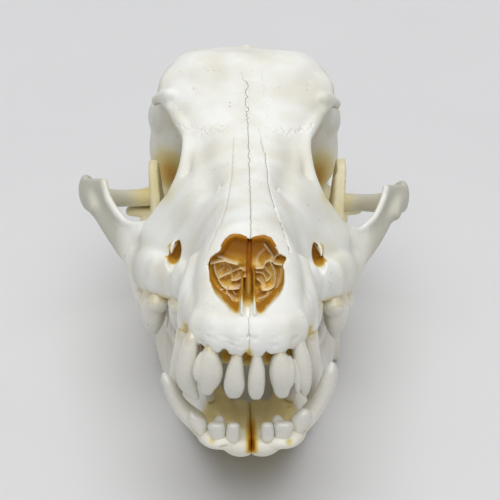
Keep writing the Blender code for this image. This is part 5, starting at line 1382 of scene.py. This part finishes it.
# %% Thin amber bone: leaves with pale edges over ochre pockets, browner towards the roof of the nose
amber, leaf_shader = new_material("thin_amber_bone")
place = add(leaf_shader, "ShaderNodeTexCoord", "Object")
cloud = add(leaf_shader, "ShaderNodeTexNoise", "Fac", {"Vector": place, "Scale": per_metre(2.2), "Detail": 3.0})
shade = add(leaf_shader, "ShaderNodeValToRGB", "Color", {"Fac": cloud},
            ((0.35, "#CC921E"), (0.5, "#DCAC34"), (0.66, "#ECCA60")))
for attribute, tone in (("to_roof", "#B87A08"), ("leaf_edge", "#F8ECC4")):
    share = add(leaf_shader, "ShaderNodeAttribute", "Fac", attribute_name=attribute)
    shade = add(leaf_shader, "ShaderNodeMix", "Result", {"Factor": share, "A": shade, "B": linear(tone)},
                data_type="RGBA")
plug(leaf_shader, {"Base Color": shade, "Roughness": 0.45})

# %% Red-brown bone of the wall, streaked, with ochre sides and a straw-coloured foot
wall_bone, wall_shader = new_material("red_brown_thin_bone")
place = add(wall_shader, "ShaderNodeTexCoord", "Object")
streaks = add(wall_shader, "ShaderNodeTexNoise", "Fac", {"Vector": place, "Scale": per_metre(2.5), "Detail": 3.0})
shade = add(wall_shader, "ShaderNodeValToRGB", "Color", {"Fac": streaks}, ((0.35, "#A05A08"), (0.65, "#B87414")))
for attribute, tone in (("to_side", "#BC8820"), ("to_foot", "#D0B050")):
    share = add(wall_shader, "ShaderNodeAttribute", "Fac", attribute_name=attribute)
    shade = add(wall_shader, "ShaderNodeMix", "Result", {"Factor": share, "A": shade, "B": linear(tone)},
                data_type="RGBA")
plug(wall_shader, {"Base Color": shade, "Roughness": 0.45})

# %% Give each piece its material
for material, pieces in ((bleached_bone, [cranium, spine]), (jaw_bone, jaws.values()),
                         (enamel, upper_teeth + lower_teeth), (amber, scrolls.values()), (wall_bone, [septum])):
    for piece in pieces:
        piece.data.materials.clear()
        piece.data.materials.append(material)

# %% [markdown]
# ## Table and light
#
# The table is seamless and pale. A large softbox hangs above and a little in front, so that the forehead and the
# snout are brightest and the jaw lies in a soft shadow. A second, weaker one shines straight down on the table
# behind the skull, which keeps it as bright there as in front. An even fill comes from all round.

# %% A pale, seamless table
deselect()
bpy.ops.mesh.primitive_plane_add(size=6)
table = bpy.context.object
table.name = "table"
pale, table_shader = new_material("matt_pale_table")
place = add(table_shader, "ShaderNodeTexCoord", "Object")
cloud = add(table_shader, "ShaderNodeTexNoise", "Fac", {"Vector": place, "Scale": per_metre(120)})
shade = add(table_shader, "ShaderNodeValToRGB", "Color", {"Fac": cloud}, ((0.3, "#DBDBDC"), (0.7, "#DDDDDE")))
plug(table_shader, {"Base Color": shade, "Roughness": 0.85})
table.data.materials.append(pale)

# %% Two softboxes and an even fill
FILL_STRENGTH = 0.29


def softbox(name, size, watts, place, target=None):
    """A square light of a size in metres, aimed at a target, or straight down."""
    light = bpy.data.lights.new(name, "AREA")
    light.size, light.energy = size, watts
    lamp = bpy.data.objects.new(name, light)
    bpy.context.scene.collection.objects.link(lamp)
    lamp.location = place
    if target:
        lamp.rotation_euler = (Vector(target) - lamp.location).to_track_quat("-Z", "Y").to_euler()


softbox("softbox", 2.4, 44, (0, -0.8, 2.1), target=(0, -0.02, 0.05))
softbox("back_softbox", 1.6, 14, (0, 1.8, 1.5))
world = bpy.data.worlds.new("studio")
world.use_nodes = True
plug(world.node_tree.nodes["Background"], {"Color": linear("#F2F3F5"), "Strength": FILL_STRENGTH})
bpy.context.scene.world = world
bpy.context.scene.view_settings.view_transform = "Standard"
